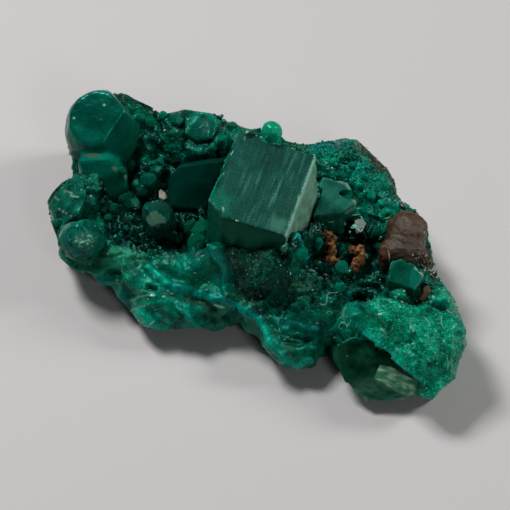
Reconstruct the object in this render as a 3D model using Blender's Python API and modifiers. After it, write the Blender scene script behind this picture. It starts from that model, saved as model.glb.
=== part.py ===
"""A dioptase specimen: a thick crust of intergrown green crystals, broken off its
rock, that carries larger single crystals, a brown botryoidal nodule and two small
sprigs of rusty limonite. It lies on its broken underside.

Metres, +Z up. X runs along the specimen's length, Y across it, and the origin is
under the middle of the specimen, on the plane that it lies on.

Features are placed by where they are seen from the specimen's display side: seen()
takes a point of a 510 x 510 picture and a height over the resting plane in mm.
"""
import math

import bmesh
import bpy
from mathutils import Matrix, Vector, noise

MM = 0.001

# ---------------------------------------------------------------- driving sizes
VIEW_AZIMUTH = 37.0      # display side, degrees round from the -Y side
VIEW_ELEVATION = 50.0    # degrees over the resting plane
VIEW_WIDTH = 46.0        # mm across the picture at the aim point
VIEW_AIM = (0.0, 0.0, 6.0)
PICTURE = 510
LENS = 150.0 / 36.0      # focal length over picture width

CRUST_VOXEL = 0.42       # mm, the grain at which the crust's lobes are fused
CRUST_TRIANGLES = 6300
SEAT_GAP = 0.32          # mm between a seated crystal and the crust
UNDERSIDE = 0.0          # mm, the broken face that the specimen lies on
ROOT_HEIGHT = 0.9        # mm, the middle of the roots under the lobes
ROOT_REACH = 2.7         # mm, their radius upward
ROOT_WIDTH = 0.76        # their width over that of the lobes
ROOT_INSET = 1.3         # mm that they stand back from the display side


# ---------------------------------------------------------------- placing
def view_basis():
    a, e = math.radians(VIEW_AZIMUTH), math.radians(VIEW_ELEVATION)
    back = Vector((math.sin(a) * math.cos(e), -math.cos(a) * math.cos(e), math.sin(e)))
    right = Vector((math.cos(a), math.sin(a), 0.0))
    return right, back.cross(right), back


def ray(u, v):
    """(origin, direction) in mm of the sight line through a point of the picture."""
    right, up, back = view_basis()
    eye = Vector(VIEW_AIM) + back * (VIEW_WIDTH / 2 * 2 * LENS)
    x = (u - PICTURE / 2) / PICTURE / LENS
    y = (PICTURE / 2 - v) / PICTURE / LENS
    return eye, right * x + up * y - back


def seen(u, v, z):
    """The point in mm at height z that is seen at (u, v)."""
    eye, way = ray(u, v)
    return eye + way * ((z - eye.z) / way.z)


def seen_on(u, v, point, normal):
    """The point in mm where the sight line through (u, v) meets a plane."""
    eye, way = ray(u, v)
    return eye + way * ((point - eye).dot(normal) / way.dot(normal))


def facing(right, away, up):
    """A unit direction given along the picture's right, away from the viewer, and up."""
    a = math.radians(VIEW_AZIMUTH)
    flat_right = Vector((math.cos(a), math.sin(a), 0))
    flat_away = Vector((-math.sin(a), math.cos(a), 0))
    return (flat_right * right + flat_away * away + Vector((0, 0, up))).normalized()


# ---------------------------------------------------------------- scene
def material(name, colour, roughness, metallic=0.0):
    m = bpy.data.materials.new(name)
    m.use_nodes = True
    p = m.node_tree.nodes["Principled BSDF"]
    p.inputs["Base Color"].default_value = (*colour, 1)
    p.inputs["Roughness"].default_value = roughness
    p.inputs["Metallic"].default_value = metallic
    return m


for old in list(bpy.data.objects):
    bpy.data.objects.remove(old)

SPECIMEN = bpy.data.collections.new("dioptase_specimen")
CUTTERS = bpy.data.collections.new("cutters")
bpy.context.scene.collection.children.link(SPECIMEN)
bpy.context.scene.collection.children.link(CUTTERS)

MATERIALS = {
    "crust_green": material("crust_green", (0.0, 0.20, 0.13), 0.35),
    "crystal_green": material("crystal_green", (0.0, 0.16, 0.11), 0.12),
    "dark_crystal": material("dark_crystal", (0.01, 0.05, 0.045), 0.08),
    "nodule_brown": material("nodule_brown", (0.12, 0.07, 0.045), 0.45),
    "limonite": material("limonite", (0.28, 0.12, 0.03), 0.7),
}


def mesh_object(name, bm, collection, mat=None):
    bmesh.ops.recalc_face_normals(bm, faces=bm.faces)
    data = bpy.data.meshes.new(name)
    bm.to_mesh(data)
    bm.free()
    obj = bpy.data.objects.new(name, data)
    collection.objects.link(obj)
    if mat:
        data.materials.append(MATERIALS[mat])
    if collection is CUTTERS:
        obj.hide_render = True
        obj.display_type = "WIRE"
    return obj


def evaluated(obj):
    bpy.context.view_layer.update()
    graph = bpy.context.evaluated_depsgraph_get()
    return bpy.data.meshes.new_from_object(obj.evaluated_get(graph))


def apply_all(obj):
    """The object's modifiers, made part of its mesh."""
    data = evaluated(obj)
    obj.modifiers.clear()
    obj.data = data
    return obj


# ---------------------------------------------------------------- crystals
def hull_of(points):
    """The closed convex form with these corners, given in mm."""
    bm = bmesh.new()
    for p in points:
        bm.verts.new(Vector(p) * MM)
    made = bmesh.ops.convex_hull(bm, input=bm.verts)
    inside = {g for g in made["geom_interior"] if isinstance(g, bmesh.types.BMVert)}
    inside |= {g for g in made["geom_unused"] if isinstance(g, bmesh.types.BMVert)}
    bmesh.ops.delete(bm, geom=list(inside), context="VERTS")
    bmesh.ops.dissolve_limit(bm, angle_limit=math.radians(1.0), verts=bm.verts, edges=bm.edges)
    return bm


def prism(radius, length, sides=6, slope=38.0, tip_turn=0.0, squash=1.0, tip_cut=0.0):
    """A hexagonal crystal along +Z with three sloping end faces, its foot at the origin.
    slope is the fall of the end faces in degrees, tip_cut how far the tip is broken off."""
    bm = bmesh.new()
    bmesh.ops.create_cone(bm, cap_ends=True, segments=sides, radius1=radius * MM, radius2=radius * MM, depth=length * MM)
    bmesh.ops.translate(bm, verts=bm.verts, vec=(0, 0, length * MM / 2))
    bmesh.ops.scale(bm, verts=bm.verts, vec=(1, squash, 1))
    ends = [(tip_turn + 120 * i, slope, 0.0) for i in range(3)]
    for turn, fall, drop in ends:
        t, f = math.radians(turn), math.radians(fall)
        normal = Vector((math.cos(t) * math.sin(f), math.sin(t) * math.sin(f), math.cos(f)))
        cut(bm, Vector((0, 0, (length - drop) * MM)), normal)
    if tip_cut:
        cut(bm, Vector((0, 0, (length - tip_cut) * MM)), Vector((0.25, 0.1, 1)).normalized())
    return bm


def cut(bm, point, normal):
    """Cuts away what is on the normal's side of the plane, and closes the face."""
    geom = bm.verts[:] + bm.edges[:] + bm.faces[:]
    found = bmesh.ops.bisect_plane(bm, geom=geom, plane_co=point, plane_no=normal, clear_outer=True)
    edges = [g for g in found["geom_cut"] if isinstance(g, bmesh.types.BMEdge)]
    if edges:
        bmesh.ops.contextual_create(bm, geom=edges)


def stood(bm, foot, axis, turn=0.0):
    """Moves a crystal that was made along +Z to its foot, in mm, and along its axis."""
    spin = Matrix.Rotation(math.radians(turn), 4, "Z")
    lean = Vector(axis).to_track_quat("Z", "Y").to_matrix().to_4x4()
    bmesh.ops.transform(bm, matrix=Matrix.Translation(Vector(foot) * MM) @ lean @ spin, verts=bm.verts)
    return bm


# ---------------------------------------------------------------- the crust
# Lobes of the crust: u, v, height of the middle, and radii right, away and up in mm.
LOBES = [
    # near side, along the resting plane
    (70, 234, 3.8, 1.7, 2.1, 2.7),
    (76, 246, 3.4, 1.9, 2.6, 2.9),
    (94, 254, 3.2, 2.3, 2.5, 2.9),
    (112, 264, 3.0, 1.9, 2.4, 2.7),
    (134, 278, 3.0, 1.9, 2.7, 2.9),
    (157, 293, 2.8, 2.3, 3.3, 2.9),
    (182, 293, 2.9, 3.0, 3.4, 3.1),
    (212, 295, 2.8, 2.7, 3.5, 2.9),
    (238, 287, 3.2, 2.6, 3.4, 3.1),
    (262, 304, 3.2, 2.3, 3.3, 2.9),
    (283, 334, 2.6, 2.3, 3.4, 2.6),
    (303, 336, 2.5, 2.0, 3.4, 2.6),
    (330, 308, 3.6, 2.5, 3.1, 3.4),
    (354, 330, 3.0, 2.3, 3.2, 3.1),
    # a broad slope behind them
    (120, 244, 3.4, 3.6, 3.4, 3.0),
    (160, 268, 3.2, 3.8, 3.6, 3.2),
    (200, 272, 3.4, 3.8, 3.8, 3.4),
    (300, 305, 3.4, 3.4, 3.8, 3.6),
    # right lobe, a thick sugary dome
    (398, 328, 4.8, 3.6, 3.9, 4.5),
    (423, 320, 4.8, 2.9, 4.1, 4.4),
    (418, 346, 4.4, 3.1, 3.7, 4.1),
    (440, 342, 4.4, 1.8, 3.1, 3.7),
    (434, 364, 3.6, 1.8, 2.5, 3.1),
    (434, 387, 2.8, 1.2, 1.5, 2.0),
    # middle
    (70, 208, 4.4, 2.0, 2.5, 3.1),
    (92, 206, 4.2, 3.1, 3.5, 3.5),
    (125, 215, 3.4, 3.5, 4.1, 3.0),
    (165, 235, 3.0, 3.7, 4.5, 2.8),
    (205, 240, 3.6, 3.7, 4.3, 3.6),
    (234, 258, 5.0, 3.0, 3.4, 4.0),
    (262, 270, 5.2, 3.2, 3.6, 4.2),
    (292, 278, 5.0, 3.2, 3.6, 4.0),
    (325, 275, 3.8, 3.7, 4.3, 3.6),
    (362, 285, 3.4, 3.7, 4.5, 3.2),
    (396, 292, 4.0, 3.3, 4.1, 3.9),
    (421, 298, 4.4, 1.7, 2.9, 3.5),
    # behind the middle
    (112, 178, 3.4, 3.5, 3.7, 3.3),
    (150, 190, 3.4, 3.5, 3.7, 3.2),
    (190, 196, 3.4, 3.5, 3.7, 3.3),
    (228, 208, 4.2, 3.5, 3.7, 4.0),
    (268, 220, 4.4, 3.5, 3.7, 4.2),
    (306, 230, 4.0, 3.5, 3.7, 3.8),
    (342, 240, 3.4, 3.3, 3.7, 3.3),
    (376, 250, 3.6, 2.9, 3.7, 3.5),
    # far rim
    (98, 143, 4.4, 2.7, 2.9, 3.8),
    (126, 138, 4.8, 2.7, 3.0, 4.4),
    (142, 141, 5.0, 2.4, 3.0, 4.5),
    (158, 147, 4.8, 2.3, 3.0, 4.1),
    (178, 149, 5.0, 2.6, 3.0, 4.3),
    (205, 153, 5.0, 2.7, 3.2, 4.3),
    (238, 168, 4.8, 3.1, 3.1, 4.1),
    (280, 184, 4.8, 3.1, 3.1, 4.1),
    (318, 181, 5.2, 2.9, 3.3, 4.3),
    (347, 180, 5.2, 2.6, 3.3, 4.5),
    (368, 199, 5.0, 2.5, 3.3, 4.3),
    (385, 220, 4.6, 2.0, 3.0, 4.1),
    (400, 226, 4.4, 1.6, 2.5, 3.5),
    (402, 256, 4.4, 2.3, 3.3, 3.9),
    (411, 280, 4.2, 1.7, 2.7, 3.7),
]


def crust_form(voxel=CRUST_VOXEL):
    """The lobes fused in one mass, in metres, with the unevenness of a broken crust."""
    bm = bmesh.new()
    turn = Matrix.Rotation(math.radians(VIEW_AZIMUTH), 4, "Z")
    for u, v, z, right, away, up in LOBES:
        at = seen(u, v, z)
        # each lobe, and the root under it that was broken from the rock
        root = at + facing(0, 1, 0) * ROOT_INSET
        for where, r, a, h in ((at, right, away, up), (Vector((root.x, root.y, ROOT_HEIGHT)), right * ROOT_WIDTH, away * ROOT_WIDTH, ROOT_REACH)):
            made = bmesh.ops.create_icosphere(bm, subdivisions=3, radius=1.0)
            size = Matrix.Diagonal(Vector((r * MM, a * MM, h * MM, 1)))
            bmesh.ops.transform(bm, matrix=Matrix.Translation(where * MM) @ turn @ size, verts=made["verts"])
    obj = mesh_object("crust_lobes", bm, CUTTERS)
    fuse = obj.modifiers.new("fuse", "REMESH")
    fuse.mode = "VOXEL"
    fuse.voxel_size = voxel * MM
    soften = obj.modifiers.new("soften", "SMOOTH")
    soften.factor = 0.6
    soften.iterations = 10
    apply_all(obj)
    return obj


def roughen(obj):
    """Pushes the surface in and out by a few tenths of a mm, as broken crystal is."""
    for v in obj.data.vertices:
        p = v.co / MM
        n = Vector(v.normal)
        coarse = noise.noise(p * 0.28 + Vector((3.1, 7.7, 1.3)))
        fine = noise.noise(p * 0.75 + Vector((11.0, 2.0, 5.0)))
        v.co += n * MM * (0.9 * coarse + 0.42 * fine)


def close_at(obj, height):
    """Cuts the form off flat at the resting plane."""
    bm = bmesh.new()
    bm.from_mesh(obj.data)
    cut_edges = bmesh.ops.bisect_plane(
        bm, geom=bm.verts[:] + bm.edges[:] + bm.faces[:], plane_co=(0, 0, height * MM), plane_no=(0, 0, -1), clear_outer=True
    )["geom_cut"]
    edges = [g for g in cut_edges if isinstance(g, bmesh.types.BMEdge)]
    bmesh.ops.holes_fill(bm, edges=edges, sides=0)
    bmesh.ops.recalc_face_normals(bm, faces=bm.faces)
    bm.to_mesh(obj.data)
    bm.free()


crust = crust_form()
crust.name = crust.data.name = "dioptase_crust"
roughen(crust)
heal = crust.modifiers.new("heal", "REMESH")
heal.mode = "VOXEL"
heal.voxel_size = CRUST_VOXEL * MM
thin = crust.modifiers.new("thin", "DECIMATE")
thin.ratio = CRUST_TRIANGLES / (2.0 * len(crust.data.polygons))
apply_all(crust)
close_at(crust, UNDERSIDE)
CUTTERS.objects.unlink(crust)
SPECIMEN.objects.link(crust)
crust.hide_render = False
crust.display_type = "TEXTURED"
crust.data.materials.append(MATERIALS["crust_green"])


# ---------------------------------------------------------------- single crystals and the other minerals
def dropped(points, depth, spread=1.0, slide=(0, 0, 0)):
    """The corners of a top face, and the same corners depth mm down, spread about their middle."""
    middle = sum(points, Vector()) / len(points)
    low = [middle + (p - middle) * spread + Vector((0, 0, -depth)) + Vector(slide) for p in points]
    return list(points) + low


def thin_out(obj, triangles):
    thin = obj.modifiers.new("thin", "DECIMATE")
    thin.ratio = min(1.0, triangles / (2.0 * len(obj.data.polygons)))
    apply_all(obj)


def union(obj, other):
    """Joins other to obj as one solid, and removes other."""
    add = obj.modifiers.new("grown_together", "BOOLEAN")
    add.operation = "UNION"
    add.object = other
    apply_all(obj)
    bpy.data.objects.remove(other)
    return obj


def grown(obj, gap=SEAT_GAP):
    """A helper that stands gap mm proud of obj all over, for cutting the seat that obj stands in."""
    bm = bmesh.new()
    bm.from_mesh(obj.data)
    bmesh.ops.recalc_face_normals(bm, faces=bm.faces)
    round_form = len(bm.verts) > 140
    moves = [(v, v.normal * gap * MM * (1.2 if round_form else min(v.calc_shell_factor(), 2.2))) for v in bm.verts]
    for v, move in moves:
        v.co += move
    seat = mesh_object(obj.name + "_seat", bm, CUTTERS)
    if round_form:
        # the creases between its lumps close up as it grows
        fuse = seat.modifiers.new("fuse", "REMESH")
        fuse.mode = "VOXEL"
        fuse.voxel_size = 0.2 * MM
        apply_all(seat)
        thin_out(seat, 300)
    return seat


def volume(body):
    """Six times the volume that a set of vertices encloses."""
    faces = {f for v in body for f in v.link_faces}
    return abs(sum(f.calc_center_median().dot(f.normal) * f.calc_area() * 2 for f in faces))


def largest_body(obj):
    """Drops the crumbs that a cut leaves loose."""
    bm = bmesh.new()
    bm.from_mesh(obj.data)
    left, bodies = set(bm.verts), []
    while left:
        start = left.pop()
        body, edge = {start}, [start]
        while edge:
            for e in edge.pop().link_edges:
                for w in e.verts:
                    if w not in body:
                        body.add(w)
                        edge.append(w)
        left -= body
        bodies.append(body)
    bodies.sort(key=volume)
    for body in bodies[:-1]:
        bmesh.ops.delete(bm, geom=list(body), context="VERTS")
    bm.to_mesh(obj.data)
    bm.free()


def make_room(obj, seats):
    """Cuts each seat out of obj, so that the two stay apart by the gap."""
    for seat in seats:
        room = obj.modifiers.new("room", "BOOLEAN")
        room.operation = "DIFFERENCE"
        room.object = seat
    apply_all(obj)
    largest_body(obj)


def blob(name, balls, voxel, mat):
    """Round lumps grown into each other: (u, v, z, radius right, away, up) in mm."""
    bm = bmesh.new()
    turn = Matrix.Rotation(math.radians(VIEW_AZIMUTH), 4, "Z")
    for u, v, z, right, away, up in balls:
        made = bmesh.ops.create_icosphere(bm, subdivisions=3, radius=1.0)
        size = Matrix.Diagonal(Vector((right * MM, away * MM, up * MM, 1)))
        bmesh.ops.transform(bm, matrix=Matrix.Translation(seen(u, v, z) * MM) @ turn @ size, verts=made["verts"])
    obj = mesh_object(name, bm, SPECIMEN, mat)
    fuse = obj.modifiers.new("fuse", "REMESH")
    fuse.mode = "VOXEL"
    fuse.voxel_size = voxel * MM
    soften = obj.modifiers.new("soften", "SMOOTH")
    soften.factor = 0.5
    soften.iterations = 2
    apply_all(obj)
    if not obj.data.materials:
        obj.data.materials.append(MATERIALS[mat])
    return obj


# The large blocky crystal in the middle. Its top face leans to the display side.
TOP_NORMAL = facing(0.05, -0.34, 0.94)
TOP_CORNER = seen(286, 236, 12.2)
CENTRAL_TOP = [seen_on(u, v, TOP_CORNER, TOP_NORMAL) for u, v in ((239, 128), (316, 155), (286, 236), (222, 217), (208, 199))]
central = mesh_object("central_crystal", hull_of(dropped(CENTRAL_TOP, 8.6, 1.1)), SPECIMEN, "crystal_green")
bead_bm = bmesh.new()
bmesh.ops.create_icosphere(bead_bm, subdivisions=2, radius=MM)
bmesh.ops.scale(bead_bm, verts=bead_bm.verts, vec=(1.0, 0.92, 1.04))
for normal, reach in ((facing(0.7, -0.4, 0.5), 0.86), (facing(-0.75, -0.3, 0.55), 0.88), (facing(0.1, 0.0, 1.0), 0.92)):
    cut(bead_bm, normal * reach * MM, normal)
bmesh.ops.translate(bead_bm, verts=bead_bm.verts, vec=(seen_on(272, 140, TOP_CORNER, TOP_NORMAL) + facing(0, 1, 0) * 0.55 + Vector((0, 0, 0.5))) * MM)
bead = mesh_object("bead", bead_bm, SPECIMEN)
union(central, bead)

# Two large crystals grown into each other at the far left: a rounded one, and a wedge in front of it.
domed_bm = bmesh.new()
bmesh.ops.create_icosphere(domed_bm, subdivisions=3, radius=MM)
bmesh.ops.scale(domed_bm, verts=domed_bm.verts, vec=(3.62, 3.3, 4.45))
bmesh.ops.rotate(domed_bm, verts=domed_bm.verts, cent=(0, 0, 0), matrix=Matrix.Rotation(math.radians(VIEW_AZIMUTH), 3, "Z"))
for normal, reach in ((facing(-0.2, -0.5, 0.85), 2.9), (facing(0.46, -0.76, 0.46), 3.15), (facing(0.75, 0.5, 0.45), 3.0), (facing(-0.95, -0.1, 0.25), 3.5)):
    cut(domed_bm, normal * reach * MM, normal)
bmesh.ops.translate(domed_bm, verts=domed_bm.verts, vec=seen(103, 131, 7.8) * MM)
upper_left = mesh_object("upper_left_crystals", domed_bm, SPECIMEN, "crystal_green")
wedge_top = [seen(78, 160, 8.6), seen(108, 158, 9.0), seen(127, 171, 8.2), seen(128, 189, 6.9), seen(110, 197, 6.2), seen(92, 195, 6.2), seen(84, 178, 7.4)]
wedge_root = [seen(92, 136, 5.6), seen(112, 136, 5.6)]
wedge = mesh_object("wedge", hull_of(dropped(wedge_top, 3.8, 1.05) + wedge_root), SPECIMEN)
union(upper_left, wedge)

# A broad crystal beside the central one that shows one steep, shaded face.
shaded = mesh_object(
    "shaded_crystal",
    hull_of([seen(170, 175, 8.3), seen(180, 166, 9.1), seen(222, 160, 9.9), seen(172, 207, 6.6), seen(206, 210, 6.6), seen(182, 163, 7.2), seen(224, 157, 7.8),
             seen(165, 215, 4.0), seen(210, 222, 4.0), seen(168, 180, 4.0), seen(222, 168, 4.0)]),
    SPECIMEN, "dark_crystal")

# A six-sided crystal with a broken tip, standing in the hollow.
pale_tip = mesh_object("broken_tip_crystal", stood(prism(1.5, 6.0, slope=30, tip_cut=0.5), seen(165, 240, 3.6), facing(-0.1, -0.2, 0.95), 10), SPECIMEN, "crystal_green")

# The left end: a flat crystal on the edge and a rounded one in front of it.
edge_top = [seen(79, 172, 7.4), seen(64, 184, 7.4), seen(54, 195, 7.0), seen(49, 207, 6.4), seen(54, 221, 6.2), seen(61, 230, 6.4), seen(78, 214, 8.0), seen(86, 196, 8.2), seen(86, 180, 7.8)]
left_edge = mesh_object("left_edge_crystal", hull_of(dropped(edge_top, 3.6, 0.82)), SPECIMEN, "crystal_green")
nub_bm = bmesh.new()
bmesh.ops.create_icosphere(nub_bm, subdivisions=2, radius=MM)
bmesh.ops.scale(nub_bm, verts=nub_bm.verts, vec=(2.1, 1.75, 2.2))
for normal, reach in ((facing(-0.2, -0.5, 0.8), 1.75), (facing(0.6, -0.3, 0.6), 1.6), (facing(-0.6, 0.2, 0.7), 1.7)):
    cut(nub_bm, normal * reach * MM, normal)
bmesh.ops.rotate(nub_bm, verts=nub_bm.verts, cent=(0, 0, 0), matrix=Matrix.Rotation(math.radians(VIEW_AZIMUTH), 3, "Z"))
bmesh.ops.translate(nub_bm, verts=nub_bm.verts, vec=seen(81, 240, 6.4) * MM)
nub = mesh_object("left_rounded_crystal", nub_bm, SPECIMEN, "crystal_green")

# The far ridge.
ridge_top = [seen(185, 117, 9.6), seen(203, 112, 9.9), seen(214, 116, 9.8), seen(221, 124, 9.2), seen(213, 138, 9.0), seen(197, 141, 8.8), seen(185, 133, 9.2)]
ridge = mesh_object("far_ridge_crystal", hull_of(dropped(ridge_top, 3.4, 0.95)), SPECIMEN, "crystal_green")

# A broken plate of crystal against the right of the central one.
plate_top = [seen(322, 177, 10.2), seen(348, 182, 9.8), seen(351, 190, 9.4), seen(357, 203, 8.8), seen(341, 213, 8.6), seen(312, 215, 9.0)]
plate = mesh_object("broken_plate_crystal", hull_of(dropped(plate_top, 3.4, 0.95)), SPECIMEN, "crystal_green")
notch_top = [seen(339, 192, 11.5), seen(346, 189, 11.5), seen(366, 190, 11.5), seen(366, 199, 11.5), seen(348, 198, 11.5)]
notch = plate.modifiers.new("notch", "BOOLEAN")
notch.operation = "DIFFERENCE"
notch.object = mesh_object("plate_notch", hull_of(dropped(notch_top, 3.6, 1.0, slide=facing(0, 1, 0) * 3.0)), CUTTERS)
apply_all(plate)

# The small box-shaped crystal at the right.
BOX_CORNER, BOX_NORMAL = seen(413, 264, 10.2), facing(0.0, -0.38, 0.92)
box_top = [seen_on(u, v, BOX_CORNER, BOX_NORMAL) for u, v in ((391, 262), (400, 258), (413, 264), (424, 274), (415, 289), (386, 280))]
box = mesh_object("box_crystal", hull_of(dropped(box_top, 4.6, 1.0)), SPECIMEN, "crystal_green")

# The clear dark crystal in the right hollow.
glassy = mesh_object("clear_dark_crystal", stood(prism(1.0, 3.6, slope=40), seen(357, 243, 5.0), facing(-0.1, -0.1, 0.98), 20), SPECIMEN, "dark_crystal")

# The broken crystal under the right lobe, with its pale cleavage face.
low_points = [
    seen(336, 345, 4.6), seen(352, 336, 5.2), seen(372, 340, 5.4), seen(400, 362, 4.6), seen(424, 380, 3.6), seen(429, 391, 2.2),
    seen(410, 398, 1.2), seen(386, 403, 0.9), seen(365, 402, 1.2), seen(345, 382, 2.2), seen(332, 358, 3.2),
    seen(345, 338, 1.6), seen(385, 352, 1.4), seen(420, 378, 1.4),
]
low_right = mesh_object("lower_right_crystal", hull_of(low_points), SPECIMEN, "crystal_green")

# The brown botryoidal nodule, and a chip of the same mineral.
nodule = blob("brown_nodule", [
    (407, 230, 8.4, 1.95, 1.75, 1.6), (401, 252, 7.8, 2.05, 1.5, 1.5), (386, 259, 6.9, 0.75, 1.1, 1.6), (420, 259, 6.6, 1.1, 1.1, 1.3), (405, 245, 6.8, 1.9, 1.9, 1.8),
], 0.22, "nodule_brown")
thin_out(nodule, 620)
chip = mesh_object("brown_chip", hull_of(dropped([seen(416, 297, 8.3), seen(420, 289, 8.8), seen(429, 284, 8.9), seen(431, 292, 8.6), seen(426, 304, 7.9)], 2.5, 0.9)), SPECIMEN, "nodule_brown")

# Two sprigs of limonite standing in the right hollow.
sprig_a = blob("limonite_sprig_left", [
    (326, 234, 7.9, 0.50, 0.45, 0.5), (333, 238, 8.0, 0.48, 0.45, 0.5), (329, 244, 7.6, 0.46, 0.45, 0.6), (332, 251, 7.3, 0.5, 0.5, 0.7), (329, 259, 6.9, 0.48, 0.45, 0.6), (335, 262, 6.8, 0.42, 0.4, 0.6),
    (330, 248, 6.6, 0.7, 0.9, 0.8),
], 0.13, "limonite")
thin_out(sprig_a, 420)
sprig_b = blob("limonite_sprig_right", [
    (354, 250, 7.3, 0.42, 0.4, 0.5), (361, 249, 7.4, 0.42, 0.4, 0.5), (363, 256, 7.1, 0.4, 0.4, 0.5), (357, 262, 6.8, 0.42, 0.42, 0.5), (355, 268, 6.5, 0.38, 0.38, 0.5), (359, 258, 6.3, 0.6, 0.7, 0.7),
], 0.13, "limonite")
thin_out(sprig_b, 320)

# ---------------------------------------------------------------- seats
# Each piece keeps clear of those before it, and the crust is cut back for all of them.
ORDER = [central, upper_left, nodule, box, pale_tip, shaded, low_right, plate, ridge, nub, left_edge, glassy, chip, sprig_a, sprig_b]


def boxes_meet(a, b):
    pa, pb = [v.co for v in a.data.vertices], [v.co for v in b.data.vertices]
    return all(min(p[k] for p in pa) <= max(p[k] for p in pb) and min(p[k] for p in pb) <= max(p[k] for p in pa) for k in range(3))


seats = []
for piece in ORDER:
    make_room(piece, [s for s in seats if boxes_meet(piece, s)])
    seats.append(grown(piece))
make_room(crust, seats)

# ---------------------------------------------------------------- the origin, under the middle
corners = [v.co for obj in SPECIMEN.objects for v in obj.data.vertices]
middle = Vector((sum(f(c[k] for c in corners) for f in (min, max)) / 2 for k in range(2))).to_3d()
for obj in SPECIMEN.objects:
    obj.data.transform(Matrix.Translation(-middle))
    obj.data.set_sharp_from_angle(angle=math.radians(32))
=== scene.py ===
"""The looks of a dioptase specimen: a crust of intergrown emerald-green crystals with larger
crystals, druse, a brown botryoidal nodule, rusty limonite sprigs and lint.

Lengths are in mm until they meet Blender, in the specimen's own frame (+Z up).
seen() places a feature where it is seen from the display side, at a height over the floor,
and land() on the surface that is seen there. (u, v) are points of a 510 x 510 picture.
"""

import math

import bmesh
import bpy
import numpy as np
from mathutils import Matrix, Vector, noise
from mathutils.bvhtree import BVHTree


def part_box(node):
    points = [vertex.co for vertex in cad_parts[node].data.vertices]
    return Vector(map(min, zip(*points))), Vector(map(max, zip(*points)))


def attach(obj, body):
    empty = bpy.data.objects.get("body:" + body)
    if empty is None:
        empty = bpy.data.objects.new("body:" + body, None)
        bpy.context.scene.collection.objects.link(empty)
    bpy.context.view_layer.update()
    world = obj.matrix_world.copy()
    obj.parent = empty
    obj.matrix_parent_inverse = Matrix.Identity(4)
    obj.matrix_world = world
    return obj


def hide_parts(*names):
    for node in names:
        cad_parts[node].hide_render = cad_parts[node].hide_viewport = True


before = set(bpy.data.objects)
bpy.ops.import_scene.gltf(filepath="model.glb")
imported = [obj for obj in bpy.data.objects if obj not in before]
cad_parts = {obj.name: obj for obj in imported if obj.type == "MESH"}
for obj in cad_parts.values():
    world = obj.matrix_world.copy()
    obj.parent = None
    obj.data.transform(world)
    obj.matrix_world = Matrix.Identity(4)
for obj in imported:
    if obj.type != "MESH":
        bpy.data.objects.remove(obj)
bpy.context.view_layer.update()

MM = 0.001
SHIFT = Vector((1.4376, -3.0322, 0.0))   # from the CAD's drawing frame to the row frame
VIEW_AZIMUTH, VIEW_ELEVATION = 37.0, 50.0
VIEW_WIDTH = 46.0
AIM = SHIFT + Vector((0, 0, 6.0))
PICTURE = 510
LENS = 150.0 / 36.0

A, E = math.radians(VIEW_AZIMUTH), math.radians(VIEW_ELEVATION)
BACK = Vector((math.sin(A) * math.cos(E), -math.cos(A) * math.cos(E), math.sin(E)))
RIGHT = Vector((math.cos(A), math.sin(A), 0.0))
UP = BACK.cross(RIGHT)
EYE = AIM + BACK * (VIEW_WIDTH * LENS)
FLAT_AWAY = Vector((-math.sin(A), math.cos(A), 0))
PIXEL = VIEW_WIDTH / PICTURE


def ray(u, v):
    x = (u - PICTURE / 2) / PICTURE / LENS
    y = (PICTURE / 2 - v) / PICTURE / LENS
    return RIGHT * x + UP * y - BACK


def seen(u, v, z):
    way = ray(u, v)
    return EYE + way * ((z - EYE.z) / way.z)


def facing(right, away, up):
    return (RIGHT * right + FLAT_AWAY * away + Vector((0, 0, up))).normalized()


def picture(points):
    """(u, v) of an array of points in mm."""
    q = np.asarray(points, float) - np.array(EYE)
    depth = -(q @ np.array(BACK))
    u = (q @ np.array(RIGHT)) / depth * LENS * PICTURE + PICTURE / 2
    v = PICTURE / 2 - (q @ np.array(UP)) / depth * LENS * PICTURE
    return np.stack([u, v], -1)


# ---------------------------------------------------------------- small helpers
def smooth(lo, hi, x):
    t = np.clip((np.asarray(x, float) - lo) / (hi - lo), 0, 1)
    return t * t * (3 - 2 * t)


def blend(a, b, t):
    t = np.asarray(t, float)[..., None]
    return np.asarray(a) * (1 - t) + np.asarray(b) * t


def wave(points, scale, offset=(0, 0, 0)):
    """Smooth noise, -1 to 1, at points in mm."""
    o = Vector(offset)
    return np.array([noise.noise(Vector(p) * scale + o) for p in points])


def cells(points, scale, offset):
    """Scattered cells of size 1/scale mm: distances to the nearest two middles, the middle, three random numbers for each cell."""
    o = Vector(offset)
    n = len(points)
    first, second, middle = np.empty(n), np.empty(n), np.empty((n, 3))
    for i, p in enumerate(points):
        d, c = noise.voronoi(Vector(p) * scale + o)
        first[i], second[i] = d[0], d[1]
        middle[i] = c[0]
    chance = np.stack([np.modf(np.abs(np.sin(middle @ np.array(k)) * 43758.5))[0] for k in ((12.99, 78.23, 37.72), (39.35, 11.14, 83.16), (73.16, 52.24, 9.15))], -1)
    return first, second, (middle - np.array(offset)) / scale, chance


def blocks(points, scale, offset, lift, tilt):
    """Heights of broken crystal: each cell is a flat face with a tilt and a level of its own."""
    first, second, middle, chance = cells(points, scale, offset)
    return lift * (chance[:, 0] * 2 - 1) + tilt * ((points - middle) * (chance * 2 - 1)).sum(1)


def in_polygon(uv, corners):
    x, y = uv[:, 0], uv[:, 1]
    inside = np.zeros(len(uv), bool)
    n = len(corners)
    for i in range(n):
        (x1, y1), (x2, y2) = corners[i], corners[(i + 1) % n]
        if y1 == y2:
            continue
        hit = ((y1 > y) != (y2 > y)) & (x < (x2 - x1) * (y - y1) / (y2 - y1) + x1)
        inside ^= hit
    return inside


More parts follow.
